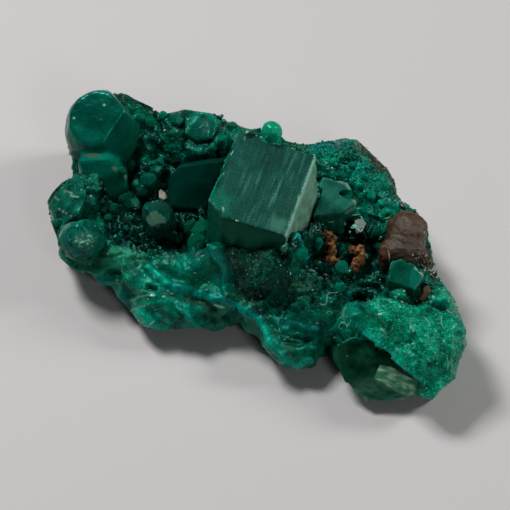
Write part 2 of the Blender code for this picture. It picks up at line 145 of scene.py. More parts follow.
def along(uv, points, half):
    """1 on a line through the picture, falling to 0 at half pixels from it."""
    best = np.full(len(uv), 1e9)
    for (x1, y1), (x2, y2) in zip(points, points[1:]):
        d = np.array([x2 - x1, y2 - y1], float)
        t = np.clip(((uv - (x1, y1)) @ d) / max(d @ d, 1e-9), 0, 1)
        best = np.minimum(best, np.linalg.norm(uv - (np.array([x1, y1]) + t[:, None] * d), axis=1))
    return np.clip(1 - best / half, 0, 1)


def inside_outline(points):
    """Points in mm, each one that is seen outside of OUTLINE moved level to the nearest place on it."""
    uv = picture(points)
    out = np.nonzero(~in_polygon(uv, OUTLINE))[0]
    best, move = np.full(len(out), 1e9), np.zeros((len(out), 2))
    for i, a in enumerate(OUTLINE):
        a, b = np.array(a, float), np.array(OUTLINE[(i + 1) % len(OUTLINE)], float)
        t = np.clip(((uv[out] - a) @ (b - a)) / ((b - a) @ (b - a)), 0, 1)
        step = a + t[:, None] * (b - a) - uv[out]
        d = np.linalg.norm(step, axis=1)
        nearer = d < best
        best[nearer], move[nearer] = d[nearer], step[nearer]
    points = points.copy()
    points[out] += np.outer(move[:, 0] * PIXEL, np.array(RIGHT)) - np.outer(move[:, 1] * PIXEL / math.sin(E), np.array(FLAT_AWAY))
    return points


def out_of_gap(points, corners, far_side):
    """Points in mm, each one that is seen inside a polygon moved level and away to the line that bounds it on the far side."""
    uv = picture(points)
    inside = np.nonzero(in_polygon(uv, corners))[0]
    line = np.array(far_side, float)
    step = np.interp(uv[inside, 0], line[:, 0], line[:, 1]) - uv[inside, 1]
    points = points.copy()
    points[inside] -= np.outer(np.minimum(step, 0) * PIXEL / math.sin(E), np.array(FLAT_AWAY))
    return points


def coords(mesh):
    co = np.empty(len(mesh.vertices) * 3)
    mesh.vertices.foreach_get("co", co)
    return co.reshape(-1, 3) / MM


def normals(mesh):
    no = np.empty(len(mesh.vertices) * 3)
    mesh.vertices.foreach_get("normal", no)
    return no.reshape(-1, 3)


def set_coords(mesh, co):
    mesh.vertices.foreach_set("co", (np.asarray(co) * MM).ravel())
    mesh.update()


def spread(mesh, field, times):
    """A field on the mesh's points, averaged with its neighbours a number of times."""
    e = np.empty(len(mesh.edges) * 2, np.int32)
    mesh.edges.foreach_get("vertices", e)
    a, b = e.reshape(-1, 2).T
    n = len(mesh.vertices)
    share = np.bincount(a, minlength=n) + np.bincount(b, minlength=n) + 1.0
    field = np.asarray(field, float)
    flat = field.ndim == 1
    field = field[:, None] if flat else field
    for _ in range(times):
        total = field.copy()
        for k in range(field.shape[1]):
            total[:, k] += np.bincount(a, field[b, k], n) + np.bincount(b, field[a, k], n)
        field = total / share[:, None]
    return field[:, 0] if flat else field


def new_object(name, mesh, *materials):
    obj = bpy.data.objects.new(name, mesh)
    bpy.context.scene.collection.objects.link(obj)
    if materials:
        mesh.materials.clear()
        for m in materials:
            mesh.materials.append(m)
    return obj


def from_bm(name, bm, *materials):
    bmesh.ops.recalc_face_normals(bm, faces=bm.faces)
    mesh = bpy.data.meshes.new(name)
    bm.to_mesh(mesh)
    bm.free()
    return new_object(name, mesh, *materials)


def apply_all(obj):
    bpy.context.view_layer.update()
    graph = bpy.context.evaluated_depsgraph_get()
    data = bpy.data.meshes.new_from_object(obj.evaluated_get(graph))
    obj.modifiers.clear()
    old = obj.data
    obj.data = data
    bpy.data.meshes.remove(old)
    return obj


def remesh(obj, voxel, soften=0.5, times=2):
    m = obj.modifiers.new("fuse", "REMESH")
    m.mode = "VOXEL"
    m.voxel_size = voxel * MM
    if times:
        s = obj.modifiers.new("soften", "SMOOTH")
        s.factor = soften
        s.iterations = times
    return apply_all(obj)


def paint(mesh, name, values):
    """A colour attribute on the mesh's points, from n x 3 linear values."""
    layer = mesh.color_attributes.new(name, "FLOAT_COLOR", "POINT")
    rgba = np.ones((len(mesh.vertices), 4), np.float32)
    rgba[:, :3] = values
    layer.data.foreach_set("color", rgba.ravel())


def shade(obj, angle=None):
    obj.data.shade_smooth()
    if angle is not None:
        obj.data.set_sharp_from_angle(angle=math.radians(angle))


def add_piece(obj, slot, *replaced):
    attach(obj, "root")
    if replaced:
        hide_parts(*replaced)
    return obj


def tree_of(obj):
    return BVHTree.FromPolygons([v.co / MM for v in obj.data.vertices], [p.vertices for p in obj.data.polygons])


# ---------------------------------------------------------------- materials
class Graph:
    """A material's node tree, built a node at a time."""

    def __init__(self, name):
        self.material = bpy.data.materials.new(name)
        self.material.use_nodes = True
        self.tree = self.material.node_tree
        self.shader = self.tree.nodes["Principled BSDF"]
        self.out = self.tree.nodes["Material Output"]

    def node(self, kind, **settings):
        n = self.tree.nodes.new(kind)
        for key, value in settings.items():
            if hasattr(n, key):
                setattr(n, key, value)
            else:
                n.inputs[key.replace("_", " ")].default_value = value
        return n

    def link(self, a, b):
        self.tree.links.new(a, b)

    def set(self, **values):
        for key, value in values.items():
            self.shader.inputs[key.replace("_", " ")].default_value = value

    def gleam(self, level, colour=(0.10, 1.0, 0.80)):
        """How strongly the surface mirrors, and the hue of its gleam."""
        self.shader.inputs["Specular IOR Level"].default_value = level
        self.shader.inputs["Specular Tint"].default_value = (*colour, 1)

    def place(self, scale=(1, 1, 1), turn=(0, 0, 0)):
        """Object coordinates in mm, turned and stretched."""
        c = self.node("ShaderNodeTexCoord")
        m = self.node("ShaderNodeMapping", vector_type="TEXTURE")
        m.inputs["Scale"].default_value = [MM / s for s in scale]
        m.inputs["Rotation"].default_value = turn
        self.link(c.outputs["Object"], m.inputs["Vector"])
        return m.outputs["Vector"]

    def noise(self, where, scale, detail=4.0, rough=0.55, distortion=0.0):
        n = self.node("ShaderNodeTexNoise", Scale=scale, Detail=detail, Roughness=rough, Distortion=distortion)
        self.link(where, n.inputs["Vector"])
        return n.outputs["Fac"]

    def voronoi(self, where, scale, feature="F1"):
        n = self.node("ShaderNodeTexVoronoi", feature=feature)
        n.inputs["Scale"].default_value = scale
        self.link(where, n.inputs["Vector"])
        return n

    def channel(self, colour, which):
        c = self.node("ShaderNodeSeparateColor")
        self.link(colour, c.inputs["Color"])
        return c.outputs[which]

    def ramp(self, value, stops):
        r = self.node("ShaderNodeValToRGB")
        ramp = r.color_ramp
        while len(ramp.elements) < len(stops):
            ramp.elements.new(0.5)
        for e, (pos, colour) in zip(ramp.elements, stops):
            e.position = pos
            e.color = (*colour, 1) if len(colour) == 3 else colour
        self.link(value, r.inputs["Fac"])
        return r.outputs["Color"]

    def scaled(self, value, lo, hi, low=0.0, high=1.0):
        """low..high to lo..hi."""
        m = self.node("ShaderNodeMapRange")
        m.inputs["From Min"].default_value = low
        m.inputs["From Max"].default_value = high
        m.inputs["To Min"].default_value = lo
        m.inputs["To Max"].default_value = hi
        self.link(value, m.inputs["Value"])
        return m.outputs["Result"]

    def mix(self, a, b, factor, kind="MIX"):
        m = self.node("ShaderNodeMix", data_type="RGBA", blend_type=kind)
        for socket, value in ((m.inputs[0], factor), (m.inputs[6], a), (m.inputs[7], b)):
            if isinstance(value, bpy.types.NodeSocket):
                self.link(value, socket)
            else:
                socket.default_value = value if isinstance(value, float) else (*value, 1)
        return m.outputs[2]

    def bump(self, height, strength, distance_mm, normal=None):
        b = self.node("ShaderNodeBump")
        if isinstance(strength, bpy.types.NodeSocket):
            self.link(strength, b.inputs["Strength"])
        else:
            b.inputs["Strength"].default_value = strength
        b.inputs["Distance"].default_value = distance_mm * MM
        self.link(height, b.inputs["Height"])
        if normal:
            self.link(normal, b.inputs["Normal"])
        return b.outputs["Normal"]

    def attribute(self, name):
        a = self.node("ShaderNodeAttribute", attribute_name=name)
        return a.outputs["Color"]

    def absorb(self, colour, per_mm):
        """Plain absorption inside a closed form: colour is what isn't taken, per_mm its density."""
        v = self.node("ShaderNodeVolumeAbsorption")
        v.inputs["Color"].default_value = (*colour, 1)
        v.inputs["Density"].default_value = per_mm / MM
        self.link(v.outputs["Volume"], self.out.inputs["Volume"])


def crust_material(name, specular, rough, depth, grain_mm=0.06):
    """Intergrown dioptase: light goes a little way into it, and its grains catch the light: the brightest grains and
    rare pale specks are painted glints in its colour.
    """
    g = Graph(name)
    where = g.place()
    tint = g.attribute("paint")
    coarse = g.channel(g.attribute("grain"), 0)
    cloud = g.noise(where, 1.5, 5, 0.6, 0.4)
    fine = g.noise(where, 5.5, 4, 0.6)
    grains = g.voronoi(g.place((1, 1.25, 1.1), (0.3, 0.5, 0.2)), 4.6)
    specks = g.voronoi(where, 9.0)
    grain = grains.outputs["Distance"]
    clouds = g.ramp(cloud, [(0.30, (0.40, 0.55, 0.58)), (0.50, (1, 1, 1)), (0.72, (1.5, 1.35, 1.3))])
    flecks = g.ramp(fine, [(0.28, (0.40, 0.50, 0.50)), (0.52, (1, 1, 1)), (0.74, (1.7, 1.5, 1.5))])
    # each grain a tone of its own, the brightest grains painted as glints; the next ramp's rare pale specks are painted
    # sparkle
    facets = g.ramp(g.channel(grains.outputs["Color"], 0), [(0.0, (0.42, 0.48, 0.48)), (0.5, (0.9, 0.95, 0.95)), (0.85, (1.3, 1.3, 1.3)), (1.0, (2.2, 1.9, 1.8))])
    painted_sparkle = g.ramp(g.channel(specks.outputs["Color"], 1), [(0.0, (0.70, 0.74, 0.74)), (0.8, (1.05, 1.05, 1.05)), (0.93, (1.5, 1.4, 1.4)), (1.0, (6.0, 2.6, 2.6))])
    colour = g.mix(tint, clouds, 1.0, "MULTIPLY")
    for part in (flecks, facets, painted_sparkle):
        colour = g.mix(colour, part, coarse, "MULTIPLY")
    g.link(colour, g.shader.inputs["Base Color"])
    g.link(g.scaled(fine, rough[0], rough[1], 0.3, 0.7), g.shader.inputs["Roughness"])
    g.gleam(specular)
    g.set(IOR=1.66, Subsurface_Weight=0.35, Subsurface_Scale=depth * MM)
    g.shader.inputs["Subsurface Radius"].default_value = (0.1, 1.0, 0.8)
    b = g.bump(grain, g.scaled(coarse, 0.05, 0.60), grain_mm)
    g.link(g.bump(fine, 0.45, 0.08, b), g.shader.inputs["Normal"])
    return g.material


def cloudy_material(name, specular, rough, clear, depth, gleam=(0.10, 1.0, 0.80), kept=(0.0, 0.86, 0.76), per_mm=1.0, streaks=None, strength=0.3, haze=0.9):
    """A larger crystal, cloudy inside: part of the light passes through it, part comes back from its veils."""
    g = Graph(name)
    where = g.place()
    tint = g.attribute("paint")
    cloud = g.noise(where, haze, 4, 0.55, 0.6)
    fine = g.noise(where, 7.0, 3, 0.6)
    clouds = g.ramp(cloud, [(0.32, (0.62, 0.72, 0.76)), (0.50, (1, 1, 1)), (0.70, (1.35, 1.2, 1.2))])
    colour = g.mix(tint, clouds, 1.0, "MULTIPLY")
    g.link(g.scaled(fine, rough[0], rough[1], 0.3, 0.7), g.shader.inputs["Roughness"])
    normal = g.bump(fine, 0.18, 0.03)
    # with streaks, pale streaks in the colour: painted sheen along the striations
    if streaks:
        lines = g.noise(g.place(*streaks), 1.0, 5, 0.7)
        pale = g.ramp(lines, [(0.36, (0.70, 0.80, 0.80)), (0.52, (1, 1, 1)), (0.64, (1.5, 1.25, 1.22)), (0.78, (3.2, 2.0, 1.9))])
        colour = g.mix(colour, pale, 1.0, "MULTIPLY")
        normal = g.bump(lines, strength, 0.05, normal)
    g.link(colour, g.shader.inputs["Base Color"])
    g.link(normal, g.shader.inputs["Normal"])
    g.gleam(specular, gleam)
    g.set(IOR=1.66, Transmission_Weight=clear, Subsurface_Weight=0.7, Subsurface_Scale=depth * MM)
    g.shader.inputs["Subsurface Radius"].default_value = (0.1, 1.0, 0.8)
    g.absorb(kept, per_mm)
    return g.material


def clear_material(name, kept, per_mm, roughness, ior=1.66):
    """See-through crystal: plain transmission and absorption."""
    g = Graph(name)
    g.set(Transmission_Weight=1.0, IOR=ior)
    g.shader.inputs["Base Color"].default_value = (0.93, 1.0, 0.98, 1)
    where = g.place()
    haze = g.noise(where, 1.1, 4, 0.6)
    g.link(g.scaled(haze, roughness[0], roughness[1]), g.shader.inputs["Roughness"])
    fine = g.noise(where, 6.0, 3, 0.6)
    g.link(g.bump(fine, 0.2, 0.03), g.shader.inputs["Normal"])
    g.gleam(0.5, (0.14, 0.20, 0.19))
    g.absorb(kept, per_mm)
    return g.material


def druse_material(name, gleam, hue, roughness):
    g = Graph(name)
    tint = g.attribute("paint")
    g.link(tint, g.shader.inputs["Base Color"])
    g.gleam(gleam, hue)
    g.set(Transmission_Weight=0.2, IOR=1.66, Roughness=roughness)
    return g.material


def brown_material():
    g = Graph("brown_botryoidal")
    where = g.place()
    tint = g.attribute("paint")
    mottle = g.noise(where, 1.3, 5, 0.65, 0.5)
    fine = g.noise(where, 9.0, 4, 0.65)
    patches = g.ramp(mottle, [(0.34, (0.5, 0.42, 0.36)), (0.5, (1, 1, 1)), (0.66, (1.5, 1.42, 1.30))])
    speck = g.ramp(fine, [(0.32, (0.5, 0.45, 0.42)), (0.55, (1, 1, 1)), (0.75, (1.7, 1.60, 1.45))])
    g.link(g.mix(g.mix(tint, patches, 1.0, "MULTIPLY"), speck, 1.0, "MULTIPLY"), g.shader.inputs["Base Color"])
    g.link(g.scaled(fine, 0.32, 0.6, 0.3, 0.7), g.shader.inputs["Roughness"])
    g.set(IOR=1.5, Specular_IOR_Level=0.4)
    g.link(g.bump(fine, 0.6, 0.08), g.shader.inputs["Normal"])
    return g.material


def limonite_material():
    g = Graph("limonite")
    where = g.place()
    mottle = g.noise(where, 3.0, 5, 0.65)
    fine = g.noise(where, 14.0, 4, 0.65)
    colour = g.ramp(mottle, [(0.36, (0.014, 0.005, 0.003)), (0.48, (0.10, 0.032, 0.009)), (0.60, (0.32, 0.14, 0.040)), (0.72, (0.48, 0.28, 0.12))])
    g.link(colour, g.shader.inputs["Base Color"])
    g.set(Roughness=0.8, IOR=1.4)
    g.link(g.bump(fine, 0.7, 0.05), g.shader.inputs["Normal"])
    return g.material


def painted_material(name, roughness, specular=0.5, depth=0.0):
    g = Graph(name)
    g.link(g.attribute("paint"), g.shader.inputs["Base Color"])
    g.set(Roughness=roughness, IOR=1.5, Specular_IOR_Level=specular)
    if depth:
        g.set(Subsurface_Weight=0.4, Subsurface_Scale=depth * MM)
        g.shader.inputs["Subsurface Radius"].default_value = (0.6, 1.0, 0.8)
    return g.material


CRUST = crust_material("drusy_crust", 0.22, (0.18, 0.40), 0.3, 0.07)
DRUSE = druse_material("druse", 0.22, (0.25, 1.0, 0.85), 0.16)
# for the druse in the hollows: it mirrors less, so the painted-shade hollows stay dark
DARK_DRUSE = druse_material("dark_druse", 0.06, (0.05, 1.0, 0.75), 0.28)
BROWN = brown_material()
RUST = limonite_material()
LINT = painted_material("lint", 0.6, 0.3)
PALE = painted_material("pale_fragments_and_painted_glints", 0.25, 0.5)
STREAK_WAY = seen(286, 236, 12.2) - seen(316, 156, 14.3)
STREAKS = ((7.0, 0.30, 0.30), (0, 0, math.atan2(STREAK_WAY.y, STREAK_WAY.x) + math.pi / 2))
CENTRAL = cloudy_material("striated_crystal", 0.34, (0.20, 0.36), 0.20, 0.6, (0.30, 1.0, 0.85), streaks=STREAKS, strength=0.35)
# for the central crystal's right-facing faces, which are painted pale for the light they catch
CENTRAL_SIDE = cloudy_material("pale_side_painted_light", 0.10, (0.30, 0.50), 0.08, 0.3, (0.50, 1.0, 0.85), haze=1.6)
DULL_FACE = cloudy_material("dull_faces", 0.02, (0.50, 0.70), 0.20, 0.9, (0.0, 1.0, 0.7))
SHADED_FACE = cloudy_material("shaded_faces", 0.03, (0.25, 0.42), 0.30, 0.9, (0.0, 1.0, 0.7))
CLOUDY = cloudy_material("cloudy_crystal", 0.12, (0.14, 0.30), 0.30, 0.9)
CLOUDY_SMALL = cloudy_material("small_cloudy_crystals", 0.08, (0.22, 0.42), 0.15, 0.3)
DARK = clear_material("clear_dark", (0.0, 0.80, 0.74), 2.4, (0.12, 0.26))

# ---------------------------------------------------------------- the crust
# Lobes as in the CAD: u, v, height of the middle, radii right, away and up in mm.
LOBES = [
    # near side, along the resting plane
    (70, 234, 3.8, 1.7, 2.1, 2.7), (76, 246, 3.4, 1.9, 2.6, 2.9), (94, 254, 3.2, 2.3, 2.5, 2.9), (112, 264, 3.0, 1.9, 2.4, 2.7),
    (134, 278, 3.0, 1.9, 2.7, 2.9), (157, 293, 2.8, 2.3, 3.3, 2.9), (182, 293, 2.9, 3.0, 3.4, 3.1), (212, 295, 2.8, 2.7, 3.5, 2.9),
    (238, 287, 3.2, 2.6, 3.4, 3.1), (262, 304, 3.2, 2.3, 3.3, 2.9), (283, 334, 2.6, 2.3, 3.4, 2.6), (303, 336, 2.5, 2.0, 3.4, 2.6),
    (330, 308, 3.6, 2.5, 3.1, 3.4), (354, 330, 3.0, 2.3, 3.2, 3.1),
    # a broad slope behind them
    (120, 244, 3.4, 3.6, 3.4, 3.0), (160, 268, 3.2, 3.8, 3.6, 3.2), (200, 272, 3.4, 3.8, 3.8, 3.4), (300, 305, 3.4, 3.4, 3.8, 3.6),
    # right lobe, a thick sugary dome
    (398, 328, 4.8, 3.6, 3.9, 4.5), (423, 320, 4.8, 2.9, 4.1, 4.4), (418, 346, 4.4, 3.1, 3.7, 4.1), (440, 342, 4.4, 1.8, 3.1, 3.7),
    (434, 364, 3.6, 1.8, 2.5, 3.1), (434, 387, 2.8, 1.2, 1.5, 2.0),
    # middle
    (70, 208, 4.4, 2.0, 2.5, 3.1), (92, 206, 4.2, 3.1, 3.5, 3.5), (125, 215, 3.4, 3.5, 4.1, 3.0), (165, 235, 3.0, 3.7, 4.5, 2.8),
    (205, 240, 3.6, 3.7, 4.3, 3.6), (234, 258, 5.0, 3.0, 3.4, 4.0), (262, 270, 5.2, 3.2, 3.6, 4.2), (292, 278, 5.0, 3.2, 3.6, 4.0),
    (325, 275, 3.8, 3.7, 4.3, 3.6), (362, 285, 3.4, 3.7, 4.5, 3.2), (396, 292, 4.0, 3.3, 4.1, 3.9), (421, 298, 4.4, 1.7, 2.9, 3.5),
    # behind the middle
    (112, 178, 3.4, 3.5, 3.7, 3.3), (150, 190, 3.4, 3.5, 3.7, 3.2), (190, 196, 3.4, 3.5, 3.7, 3.3), (228, 208, 4.2, 3.5, 3.7, 4.0),
    (268, 220, 4.4, 3.5, 3.7, 4.2), (306, 230, 4.0, 3.5, 3.7, 3.8), (342, 240, 3.4, 3.3, 3.7, 3.3), (376, 250, 3.6, 2.9, 3.7, 3.5),
    # far rim
    (98, 143, 4.4, 2.7, 2.9, 3.8), (126, 138, 4.8, 2.7, 3.0, 4.4), (142, 141, 5.0, 2.4, 3.0, 4.5), (158, 147, 4.8, 2.3, 3.0, 4.1),
    (178, 149, 5.0, 2.6, 3.0, 4.3), (205, 153, 5.0, 2.7, 3.2, 4.3), (238, 168, 4.8, 3.1, 3.1, 4.1), (280, 184, 4.8, 3.1, 3.1, 4.1),
    (318, 181, 5.2, 2.9, 3.3, 4.3), (347, 180, 5.2, 2.6, 3.3, 4.5), (368, 199, 5.0, 2.5, 3.3, 4.3), (385, 220, 4.6, 2.0, 3.0, 4.1),
    (400, 226, 4.4, 1.6, 2.5, 3.5), (402, 256, 4.4, 2.3, 3.3, 3.9), (411, 280, 4.2, 1.7, 2.7, 3.7),
]
ROOT_HEIGHT, ROOT_REACH, ROOT_WIDTH, ROOT_INSET = 0.9, 2.7, 0.76, 1.3
CRUST_VOXEL = 0.19

# The specimen's outline on the picture of the display side.
OUTLINE = [
    (110, 89), (92.5, 91), (81, 99), (74, 107.5), (70, 117.5), (67, 132.5), (67.5, 147.5), (71, 162.5), (73, 176), (62.5, 182.5), (52.5, 192.5), (47.5, 201),
    (47, 212.5), (51, 222.5), (56, 235), (59.5, 247.5), (58, 256), (67.5, 265), (76, 271), (90, 272), (100, 285), (111, 285.5), (117.5, 297.5), (130, 310),
    (141, 326), (162.5, 331), (180, 329), (200, 327.5), (217.5, 332.5), (227.5, 329), (236, 324), (245, 332), (256, 336), (267.5, 352.5), (280, 366), (290, 370),
    (315, 367.5), (320, 356), (324, 351), (330, 359), (340, 371), (352.5, 386), (365, 400), (390, 402), (417.5, 396), (432.5, 400), (440, 390), (455, 379),
    (459, 362.5), (466, 346), (467, 332.5), (461, 317.5), (455, 300), (446, 287.5), (437.5, 276), (432.5, 257.5), (430, 240), (426, 222.5), (417.5, 212.5),
    (402.5, 202.5), (397, 197.5), (395, 182.5), (387.5, 169), (377.5, 160), (367.5, 150), (357.5, 141), (345, 138), (330, 141), (315, 144), (300, 145),
    (282.5, 140), (285, 132.5), (280, 121), (265, 122.5), (257.5, 132), (242.5, 127.5), (225, 121), (214, 114), (185, 109.5), (170, 113), (161, 114.5),
    (155, 109), (137.5, 101), (124, 92.5), (115, 89.5),
]

# The rim of the right lobe over the crystal at the lower right
LOBE_RIM = [(360, 338), (371, 342), (385, 353), (396, 363), (411, 375), (425, 386)]

# Where each kind of surface lies, drawn on the picture of the display side.
WAXY, LEDGE, SUGAR, SPARKLE, HOLLOW, RIDGE, DARKDRUSE, LEFT, PIT = range(1, 10)
ZONES = [
    (RIDGE, [(66, 100), (140, 92), (240, 122), (250, 150), (160, 172), (128, 160), (66, 170)]),
    (HOLLOW, [(95, 175), (128, 160), (160, 168), (228, 172), (235, 215), (212, 245), (190, 256), (140, 252), (104, 240), (92, 205)]),
    (LEFT, [(40, 165), (95, 170), (104, 238), (104, 252), (60, 262), (40, 230)]),
    (LEDGE, [(50, 248), (104, 244), (150, 254), (165, 266), (120, 282), (60, 282)]),
    (WAXY, [(85, 276), (120, 274), (150, 258), (180, 256), (216, 246), (232, 262), (240, 290), (262, 318), (245, 330), (150, 345), (85, 320)]),
    (DARKDRUSE, [(216, 246), (262, 244), (300, 250), (330, 280), (350, 300), (300, 318), (262, 318), (240, 290)]),
    (WAXY, [(262, 318), (300, 310), (330, 306), (365, 306), (372, 335), (350, 352), (330, 350), (300, 345)]),
    (WAXY, [(235, 318), (262, 318), (300, 345), (330, 350), (332, 390), (250, 390)]),
    (SPARKLE, [(312, 130), (365, 132), (410, 200), (410, 225), (384, 232), (350, 210), (330, 175)]),
    (PIT, [(288, 240), (315, 212), (350, 210), (384, 232), (392, 262), (386, 288), (364, 303), (330, 298), (318, 270)]),
    (SUGAR, [(366, 304), (384, 292), (392, 284), (410, 293), (419, 300), (429, 292), (440, 288), (452, 262), (480, 300), (480, 400), (420, 410), (396, 362), (368, 336)]),
    (DARKDRUSE, [(410, 293), (412, 262), (430, 256), (452, 262), (440, 288), (429, 292), (419, 300)]),
]

# colours, linear
DEEP = np.array([0.0, 0.014, 0.010])
FOREST = np.array([0.0005, 0.046, 0.026])
EMERALD = np.array([0.0, 0.100, 0.052])
TEAL = np.array([0.0, 0.122, 0.078])
BRIGHT = np.array([0.002, 0.300, 0.165])
PALE_GREEN = np.array([0.12, 0.30, 0.20])
OLIVE = np.array([0.030, 0.055, 0.028])
EARTH = np.array([0.045, 0.026, 0.016])
BLACK = np.array([0.0, 0.004, 0.003])
# the black low ends of the hollows and pits are painted shade; the other kinds run between greens of the crust's own
BASE = {
    0: (FOREST * 1.2, EMERALD * 1.1), WAXY: (EMERALD * 0.9, TEAL * 1.6), LEDGE: (np.array([0.010, 0.130, 0.068]), np.array([0.024, 0.260, 0.135])), SUGAR: (EMERALD * 1.35, BRIGHT * 0.92),
    SPARKLE: (FOREST * 1.2, TEAL * 1.8), HOLLOW: (BLACK, FOREST * 0.28), RIDGE: (DEEP * 1.6, EMERALD * 1.3), DARKDRUSE: (DEEP * 2.2, FOREST * 2.3),
    LEFT: (DEEP * 1.8, EMERALD * 1.5), PIT: (BLACK, FOREST * 1.1),
}

# Single folds, ridges and gaps: line through the picture, half width in pixels, height in mm, colour, share of that
# colour. The colours are partly the crust's own hues, such as olive and earth, and partly painted light: bright greens
# as painted highlights along the ridges, black and deep greens as painted shade in the gaps.
FOLDS = [
    # waxy lower left
    ([(215, 257), (221, 268), (226, 277), (226, 293)], 7, 0.45, TEAL * 1.9, 0.8),
    ([(229, 262), (235, 278), (240, 292)], 5, -0.35, DEEP, 0.8),
    ([(148, 266), (161, 278), (168, 283)], 5, 0.45, BRIGHT * 1.15, 0.95),
    ([(177, 307), (192, 316), (203, 327)], 4, 0.40, BRIGHT * 0.8, 0.8),
    ([(182, 315), (176, 324)], 6, -0.30, FOREST, 0.8),
    ([(188, 299), (201, 303), (214, 312)], 6, -0.40, OLIVE, 0.8),
    ([(140, 312), (150, 320), (166, 327)], 7, 0.40, BRIGHT * 1.1, 0.9),
    ([(157, 314), (172, 320)], 4, 0.30, BRIGHT, 0.8),
    ([(146, 286), (156, 288)], 4, -0.45, BLACK, 0.9),
    ([(96, 275), (104, 282), (111, 284)], 5, 0.30, TEAL * 1.6, 0.9),
    ([(112, 272), (122, 284), (128, 296)], 6, -0.25, FOREST, 0.7),
    ([(118, 292), (124, 304), (133, 316)], 4, 0.25, TEAL * 1.5, 0.7),
    ([(129, 303), (138, 297), (149, 294)], 1.6, 0.12, PALE_GREEN, 0.8),
    ([(132, 312), (140, 307), (149, 304)], 1.6, 0.12, PALE_GREEN, 0.8),
    ([(127, 298), (136, 292), (146, 290)], 1.4, 0.10, PALE_GREEN * 0.7, 0.6),
    ([(168, 268), (180, 272), (200, 268)], 7, 0.15, TEAL * 1.5, 0.6),
    ([(180, 264), (181, 274)], 3, 0.30, BRIGHT * 0.9, 0.8),
    ([(170, 286), (190, 289), (214, 297), (240, 306), (258, 320)], 7, 0.30, TEAL * 1.9, 0.8),
    ([(232, 268), (243, 284), (255, 306), (266, 317)], 6, 0.30, OLIVE, 0.55),
    ([(222, 320), (232, 326), (236, 318)], 4, 0.15, EMERALD, 0.6),
    ([(203, 318), (218, 324), (232, 318)], 5, -0.30, FOREST * 0.8, 0.8),
    # ledge at the left
    ([(62, 262), (84, 270), (112, 268), (134, 262)], 5, 0.30, EMERALD * 2.2, 0.6),
    ([(64, 266), (82, 274), (98, 274)], 3, 0.05, OLIVE * 2.6, 0.7),
    ([(70, 252), (96, 256), (128, 256), (150, 258)], 3, -0.20, FOREST, 0.4),
    # lower middle
    ([(262, 326), (272, 344), (284, 360), (298, 366), (312, 362)], 6, 0.30, BRIGHT * 0.9, 0.9),
    ([(268, 322), (282, 340), (296, 344), (312, 340)], 6, -0.35, FOREST, 0.8),
    ([(281, 318), (300, 326), (320, 332), (336, 328)], 10, 0.35, TEAL * 0.55, 0.8),
    ([(282, 330), (300, 338), (318, 341)], 4, -0.25, DEEP, 0.7),
    ([(318, 341), (330, 333), (340, 322)], 4, 0.25, TEAL, 0.6),
    # under the middle crystal
    ([(288, 246), (296, 254), (306, 262)], 6, 0.50, TEAL * 1.7, 0.9),
    ([(276, 252), (284, 262), (292, 268)], 4, 0.35, TEAL * 1.3, 0.7),
    ([(296, 236), (302, 226), (308, 216)], 8, 0.45, TEAL * 1.1, 0.8),
    ([(190, 250), (196, 260), (206, 256)], 6, 0.30, TEAL * 1.2, 0.6),
    ([(262, 262), (272, 258), (282, 266)], 5, -0.40, BLACK, 0.8),
    # right hollow and the ridge round its far end
    ([(348, 294), (351, 302), (358, 306), (366, 306)], 4, 0.55, TEAL * 1.3, 0.9),
    ([(358, 298), (366, 300), (372, 296)], 5, -0.70, BLACK, 0.95),
    ([(340, 224), (352, 232), (372, 236)], 8, -0.40, BLACK, 0.8),
    ([(372, 250), (378, 262), (376, 276)], 7, -0.40, BLACK, 0.9),
    # right lobe: the rim over the dark gap, and its tip
    ([(368, 333), (385, 350), (402, 362), (414, 372), (427, 379)], 6, 0.50, BRIGHT * 0.95, 0.9),
    ([(425, 390), (432, 395), (439, 389)], 8, 0.15, BRIGHT * 1.3, 0.9),
    ([(458, 330), (462, 345), (456, 362), (446, 378)], 6, 0.20, BRIGHT, 0.6),
    ([(428, 364), (434, 362)], 5, -0.40, DEEP, 0.7),
    ([(427, 303), (436, 306), (444, 312)], 3, -0.35, DEEP, 0.8),
    ([(434, 299), (437, 303), (441, 300)], 4, 0.35, BRIGHT * 1.1, 0.8),
    # far ridge
    ([(200, 114), (208, 117), (216, 124)], 5, 0.25, BRIGHT, 0.9),
    ([(132, 98), (142, 104), (150, 108)], 4, 0.25, TEAL * 1.4, 0.8),
    ([(152, 108), (160, 120), (164, 130)], 5, -0.35, DEEP, 0.8),
    ([(170, 110), (186, 107), (200, 111)], 2.5, 0.10, EARTH * 1.6, 0.9),
    ([(176, 124), (190, 132), (214, 138)], 6, -0.45, DEEP, 0.8),
    ([(150, 142), (164, 152), (180, 158)], 6, -0.40, BLACK, 0.8),
    ([(172, 146), (186, 146), (200, 150)], 5, 0.35, EMERALD, 0.8),
    # right top: smooth teal face, then a brown rim along the far edge
    ([(314, 148), (332, 146), (352, 144)], 11, 0.25, TEAL * 0.9, 0.9),
    ([(357, 143), (367, 152), (377, 162), (387, 171), (394, 184), (396, 198)], 3.4, 0.10, EARTH, 0.9),
    ([(352, 150), (358, 148), (366, 152)], 4, 0.10, EARTH * 1.5, 0.7),
    # the far rim between the larger crystals
    ([(112, 92), (130, 98), (150, 108)], 10, 0.50, EMERALD, 0.4),
    ([(178, 158), (200, 153), (222, 148)], 10, 0.80, EMERALD * 0.8, 0.6),
    ([(455, 318), (466, 345)], 8, 0.40, BRIGHT * 0.8, 0.4),
    # painted shade in the gap in front of the box-shaped crystal and in the seat of the brown chip
    ([(386, 293), (400, 298), (414, 300)], 6, -0.45, BLACK, 0.9),
    ([(420, 296), (431, 289)], 14, -1.30, BLACK, 0.5),
]


